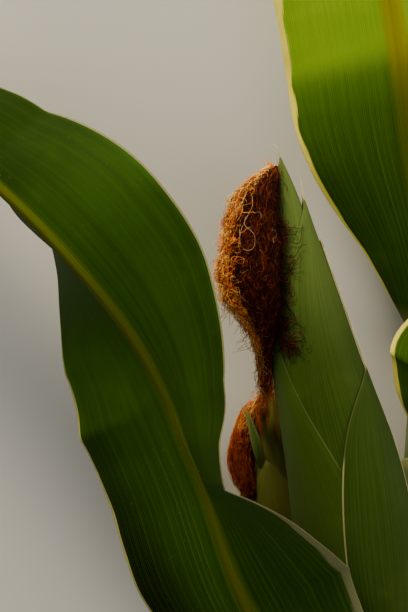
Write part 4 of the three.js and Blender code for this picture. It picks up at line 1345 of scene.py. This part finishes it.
def fringe(rng, tuft, ear, count, side, ends, length, tightness, loose):
    """Curly ends on one side of the tuft, held in more or less as loose says."""
    made = []
    for _ in range(count):
        s = rng.uniform(*ends)
        angle = rng.uniform(*side)
        start = tuft.place(s, angle, rng.uniform(0.8, 1.0))
        _, along = tuft.path.at(s)
        turn = math.radians(angle)
        out = np.array([math.cos(turn), 0, math.sin(turn)])
        heading = along * rng.uniform(-0.2, 1.2) + out * rng.uniform(0.0, 1.0)
        points = curly_points(rng, start, heading, rng.uniform(*length), tightness)
        points = tuft.hold(points, HELD["share"] + loose * rng.uniform(0, 1) ** 2)
        made.append(guide(ear.clear(points, OFF_HUSK)))
    return made


def falling(rng, tuft, ear, count, side, ends, length):
    """Loose strands that hang straight down the page from one side of the tuft."""
    made = []
    for _ in range(count):
        start = tuft.place(rng.uniform(*ends), rng.uniform(*side), rng.uniform(0.85, 1.02))
        heading = (rng.uniform(-0.35, 0.35), -1.0, rng.uniform(-0.3, 0.1))
        points = curly_points(rng, start, heading, rng.uniform(*length), tightness=0.34)
        made.append(guide(ear.clear(points, OFF_HUSK)))
    return made


def bundle(rng, ear, points, count, apart, curl):
    """Guides side by side along one path."""
    path = Path(points)
    made = []
    for _ in range(count):
        s = np.linspace(rng.uniform(0, 0.25), rng.uniform(0.75, 1.0), 30)
        centre, _ = path.at(s)
        offset = rng.normal(size=3) * apart
        drift = np.stack([wavy(rng, 8, len(s)) for _ in range(3)], -1) * apart * 0.7
        points = ear.clear(centre + offset + drift, CLOSE_TO_HUSK)
        made.append(guide(points, loose=0.6, curl=curl))
    return made


def tail_curls(rng, ear, count):
    """Curls that stand off the tail, most of them at its lower end."""
    path = Path(TAIL)
    made = []
    for _ in range(count):
        start, along = path.at(rng.uniform(0, 1) ** 0.6)
        heading = along + rng.normal(size=3) * 0.8
        start = start + rng.normal(size=3) * 1.6
        points = curly_points(rng, start, heading, rng.uniform(4, 10), tightness=1.1)
        made.append(guide(ear.clear(points, CLOSE_TO_HUSK)))
    return made


def on_ear(ear, flat_points, over):
    """Points at the given X and Y, over the ear's upper side."""
    xy = np.array(flat_points, float)
    axis = ear.path.points
    y = axis[:, 1]
    order = np.argsort(y)
    x = np.interp(xy[:, 1], y[order], axis[order, 0])
    z = np.interp(xy[:, 1], y[order], axis[order, 2])
    below = ear.length - np.interp(xy[:, 1], y[order], ear.path.along[order])
    radius = ear.radius(below) + over
    rise = np.sqrt(np.maximum(radius**2 - (xy[:, 0] - x) ** 2, 0))
    return ear.clear(np.column_stack([xy, z + rise]), over)


def crown_curls(rng, count):
    """Short curls where the tuft leaves the husk's tip."""
    made = []
    for _ in range(count):
        start = np.array(CROWN) + rng.normal(size=3) * (1.6, 1.4, 0.8)
        heading = (-1.0, rng.uniform(-0.6, 0.5), rng.uniform(-0.2, 0.6))
        points = curly_points(rng, start, heading, rng.uniform(3, 7), tightness=1.0)
        made.append(guide(points))
    return made


def husk_strays(rng, ear, count):
    """Loose strands that lie over the husk, right of the tuft, and a small tangle lower down."""
    made = []
    for _ in range(count):
        start = (rng.uniform(33.5, 38.5), rng.uniform(-12, 44), 0)
        bearing = math.radians(rng.uniform(-100, -62))
        heading = (math.cos(bearing), math.sin(bearing), 0)
        points = curly_points(rng, start, heading, rng.uniform(7, 26), tightness=0.58)
        made.append(guide(on_ear(ear, points[:, :2], rng.uniform(0.5, 1.6))))
    for _ in range(count // 3):
        start = (*(np.array(CLUSTER) + rng.normal(size=2) * 2.8), 0)
        points = curly_points(rng, start, rng.normal(size=3), rng.uniform(5, 12), tightness=0.75)
        made.append(guide(on_ear(ear, points[:, :2], rng.uniform(0.5, 2.0))))
    for _ in range(count // 8):
        start = (rng.uniform(33, 37), rng.uniform(-14, -2), 0)
        towards = np.array([*CLUSTER, 0]) - start
        points = curly_points(rng, start, towards, rng.uniform(10, 18), tightness=0.25)
        made.append(guide(on_ear(ear, points[:, :2], rng.uniform(0.5, 1.6))))
    return made


def make_silk_body(name, tuft, ear, node):
    """The dense dark heart of a tuft, which its strands cover."""
    us = np.linspace(*HEART["ends"], HEART["rings"])[:, None]
    sides = HEART["sides"]
    turn = np.linspace(0, 360, sides, endpoint=False)
    rng = np.random.default_rng(31)
    angle = np.radians(turn * HEART["grooves"] + HEART["first_groove"])
    grooves = 1 + HEART["groove"] * np.cos(angle)
    grooves = grooves + HEART["uneven"] * rng.standard_normal(sides)
    depth = HEART["depth"] * grooves + 0 * us
    points = tuft.place(us + 0 * turn, turn + 0 * us, depth).reshape(-1, 3)
    points = ear.clear(points, HEART["off"])
    look = silk_finish(f"{name}_heart", HEART["dark"], HEART["light"], roughness=0.75)
    body = new_object(f"{name}_heart", points, tube_faces(HEART["rings"], sides), look)
    hand_in(body, "silk", node)


SILK_LOOKS = {
    "dark": silk_finish("silk_dark", "#1c0602", "#320d03"),
    "brown": silk_finish("silk_brown", "#360f03", "#561b05"),
    "rust": silk_finish("silk_rust", "#6b2406", "#90400c"),
    "ember": silk_finish("silk_ember", "#9a3a08", "#c65c12"),
    "copper": silk_finish("silk_copper", "#d85a06", "#fb8a1e"),
    "amber": silk_finish("silk_amber", "#f57a14", "#ffae46"),
    "gold": silk_finish("silk_gold", "#ffae40", "#ffdf84"),
    "cream": silk_finish("silk_cream", "#b88a58", "#dcb888"),
}
POINT_LOOK = silk_finish("husk_point", "#cfc384", "#efe4b0", roughness=0.7)


def lock_pieces(rng, name, silk, tuft, ear):
    """The locks inside a tuft, a piece for each of its rows."""
    spread, curl, frizz, step = silk["lock_sizes"]
    for label, look, count, side, depth, ends, copies, wild in silk["locks"]:
        guides = locks(rng, tuft, ear, count, side, depth, ends)
        strands(f"{name}_{label}", guides, SILK_LOOKS[look], Strands=copies, Spread=spread * MM,
                Curl=curl * wild * MM, Frizz=frizz * wild * MM, Step=step * MM, Seed=count)


def curl_pieces(rng, name, silk, tuft, ear):
    """The curly ends over a tuft, a piece for each of its rows."""
    for label, look, count, side, ends, length, tight, radius, loose in silk["curls"]:
        guides = fringe(rng, tuft, ear, count, side, ends, length, tight, loose)
        fine_strands(f"{name}_{label}", guides, SILK_LOOKS[look], radius)


def make_main_silk():
    """The upper tuft: locks, curls, falling strands, the tail below it and the strays beside it."""
    rng = np.random.default_rng(4)
    tuft = Tuft(MAIN_SILK)
    make_silk_body("main_silk", tuft, main_ear, "main_ear_silk")
    lock_pieces(rng, "main_silk", MAIN_SILK, tuft, main_ear)
    curl_pieces(rng, "main_silk", MAIN_SILK, tuft, main_ear)
    for look, count in (("ember", 90), ("rust", 50)):
        guides = falling(
            rng, tuft, main_ear, count, side=(150, 225), ends=(0.42, 0.85), length=(6, 15))
        fine_strands(f"main_silk_falling_{look}", guides, SILK_LOOKS[look], radius=0.18)
    guides = bundle(rng, main_ear, TAIL, count=18, apart=0.9, curl=0.8)
    guides += bundle(rng, main_ear, EDGE_STRANDS, count=2, apart=0.4, curl=0.5)
    strands("silk_tail_rust", guides, SILK_LOOKS["rust"], Strands=3, Spread=1.3 * MM)
    guides = bundle(rng, main_ear, TAIL, count=24, apart=1.5, curl=1.2)
    guides += bundle(rng, main_ear, EDGE_STRANDS[:3], count=2, apart=0.3, curl=0.3)
    strands("silk_tail_copper", guides, SILK_LOOKS["copper"], Strands=2, Spread=1.6 * MM)
    for look, count in (("copper", 130), ("gold", 70)):
        guides = tail_curls(rng, main_ear, count)
        fine_strands(f"silk_tail_curls_{look}", guides, SILK_LOOKS[look], radius=0.14)
    for look, count in (("dark", 64), ("brown", 64)):
        guides = husk_strays(rng, main_ear, count)
        fine_strands(f"husk_strays_{look}", guides, SILK_LOOKS[look], radius=0.25)
    guides = crown_curls(rng, count=30)
    fine_strands("silk_crown", guides, SILK_LOOKS["amber"], radius=0.18)
    # The painted highlight: gold strands laid along a ridge of the tuft.
    guides = bundle(rng, main_ear, tuft.front(PAINTED_HIGHLIGHT_RIDGE, over=1.2), count=5, apart=1.0, curl=1.0)
    strands("silk_painted_highlight", guides, SILK_LOOKS["gold"], Spread=0.5 * MM, Frizz=3.0 * MM)
    paths = [Path(tuft.front(points, over=2.2)) for points in (LOOP, HOOK)]
    guides = [guide(path.points[::20], end_thick=0.9) for path in paths]
    guides += fringe(
        rng, tuft, main_ear, 26, side=(60, 170), ends=(0.15, 0.7), length=(4, 10),
        tightness=0.7, loose=0.3)
    fine_strands("silk_loop", guides, SILK_LOOKS["cream"])


def make_husk_hairs():
    """The thin dry points of the husk leaves, a pale line down the main ear's outline that is partly a
    painted rim highlight, and a small dark tuft on one of them.
    """
    rng = np.random.default_rng(15)
    guides = []
    for thick, points in HUSK_POINTS:
        one = guide(Path(points).points[::50], curl=0.1)
        one["thick"] = thick * (1 - 0.85 * np.linspace(0, 1, len(one["points"])) ** 1.5)
        guides.append(one)
    count = PALE_EDGE_AND_HIGHLIGHT_LINE["points"]
    below, angle = (np.linspace(*PALE_EDGE_AND_HIGHLIGHT_LINE[key], count) for key in ("below", "angle"))
    line = guide(main_ear.place(below, angle, main_ear.radius(below) + PALE_EDGE_AND_HIGHLIGHT_LINE["off"]), curl=0.0)
    line["thick"] = PALE_EDGE_AND_HIGHLIGHT_LINE["thick"] * (0.7 + 0.3 * wavy(rng, 4, count))
    guides.append(line)
    fine_strands("husk_points", guides, POINT_LOOK, slot="husk")
    guides = []
    for _ in range(9):
        start = np.array(HUSK_TUFT) + rng.normal(size=3) * 0.4
        heading = rng.normal(size=3)
        points = curly_points(rng, start, heading, rng.uniform(1.5, 3.5), tightness=0.9)
        guides.append(guide(points))
    fine_strands("husk_tuft", guides, SILK_LOOKS["dark"], slot="husk")


def make_second_silk():
    """The lower tuft: locks, side locks and curls."""
    rng = np.random.default_rng(9)
    tuft = Tuft(SECOND_SILK)
    make_silk_body("second_silk", tuft, second_ear, "second_ear_silk")
    lock_pieces(rng, "second_silk", SECOND_SILK, tuft, second_ear)
    for look, path in zip(("ember", "copper", "amber"), SIDE_LOCKS):
        guides = bundle(rng, second_ear, path, count=12, apart=0.7, curl=0.9)
        strands(f"second_silk_side_{look}", guides, SILK_LOOKS[look], Strands=2, Spread=1.1 * MM,
                Curl=3.0 * MM, Frizz=1.4 * MM)
    curl_pieces(rng, "second_silk", SECOND_SILK, tuft, second_ear)


# The scene round the plant

PHOTO_CENTRE = (0.0, 0.0)  # the plant's own X and Y at the middle of the photo
CAMERA_HEIGHT = 906.0
FLOOR_SIDE = 40.0  # in metres
LAMPS_FACE = (-0.03, -0.1, 0.05)
# Each lamp: its name, its place and size in metres, its power and its tint.
LAMPS = (
    ("key", (-0.75, 1.75, 0.8), 0.6, 64, (1.0, 0.88, 0.66)),
    ("rim", (1.45, 0.85, 0.5), 0.5, 20, (1.0, 0.9, 0.7)),
    ("fill", (0.2, -0.6, 2.1), 2.2, 11.5, (0.98, 0.98, 0.96)),
)
BACKDROP = {"Color": (0.93, 0.94, 0.96, 1), "Strength": 0.2}


def make_floor():
    bpy.ops.mesh.primitive_plane_add(size=FLOOR_SIDE, location=(0, 0, 0))
    floor = bpy.context.object
    floor.name = "studio_floor"
    floor.data.materials.append(floor_finish())


def make_camera():
    camera = bpy.data.objects.new("camera", bpy.data.cameras.new("camera"))
    bpy.context.scene.collection.objects.link(camera)
    camera.location = (np.array([*PHOTO_CENTRE, CAMERA_HEIGHT]) + SHIFT) * MM
    camera.rotation_euler = (0, 0, 0)
    camera.data.lens = 100.0
    camera.data.sensor_width = 36.0
    camera.data.clip_start = 0.01
    bpy.context.scene.camera = camera


def add_lamp(name, place, size, power, tint):
    """A square soft light that faces the plant."""
    lamp = bpy.data.objects.new(name, bpy.data.lights.new(name, "AREA"))
    lamp.data.size = size
    lamp.data.energy = power
    lamp.data.color = tint
    lamp.location = place
    way = np.array(LAMPS_FACE) - np.array(place)
    flat = math.hypot(way[0], way[1])
    lamp.rotation_euler = (math.atan2(flat, -way[2]), 0, math.atan2(way[1], way[0]) - math.pi / 2)
    bpy.context.scene.collection.objects.link(lamp)


def make_backdrop():
    world = bpy.data.worlds.new("studio")
    world.use_nodes = True
    for label, value in BACKDROP.items():
        world.node_tree.nodes["Background"].inputs[label].default_value = value
    bpy.context.scene.world = world


for each in LEAVES:
    make_blade(each)
    make_sheath(each)
make_stalk()
make_stem(MAIN_EAR)
make_stem(SECOND_EAR)
for data, ear, husks, seed in (
        (MAIN_EAR, main_ear, MAIN_HUSKS, 40), (SECOND_EAR, second_ear, SECOND_HUSKS, 60)):
    for number, each in enumerate(husks):
        husk_leaf = make_husk(data, ear, each, seed + number)
        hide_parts(f"{data['name']}_husk_{each['name']}")
make_husk(MAIN_EAR, main_ear, EDGE_HUSK, 50)
make_husk(SECOND_EAR, second_ear, LOW_HUSK, 70)
for each in FREE_HUSKS:
    make_free_husk(each)
kernels = kernel_finish()
for core in ("main_ear_core", "second_ear_core"):
    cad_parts[core].data.materials.clear()
    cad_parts[core].data.materials.append(kernels)
make_main_silk()
make_second_silk()
make_husk_hairs()
make_floor()
make_camera()
for lamp in LAMPS:
    add_lamp(*lamp)
make_backdrop()
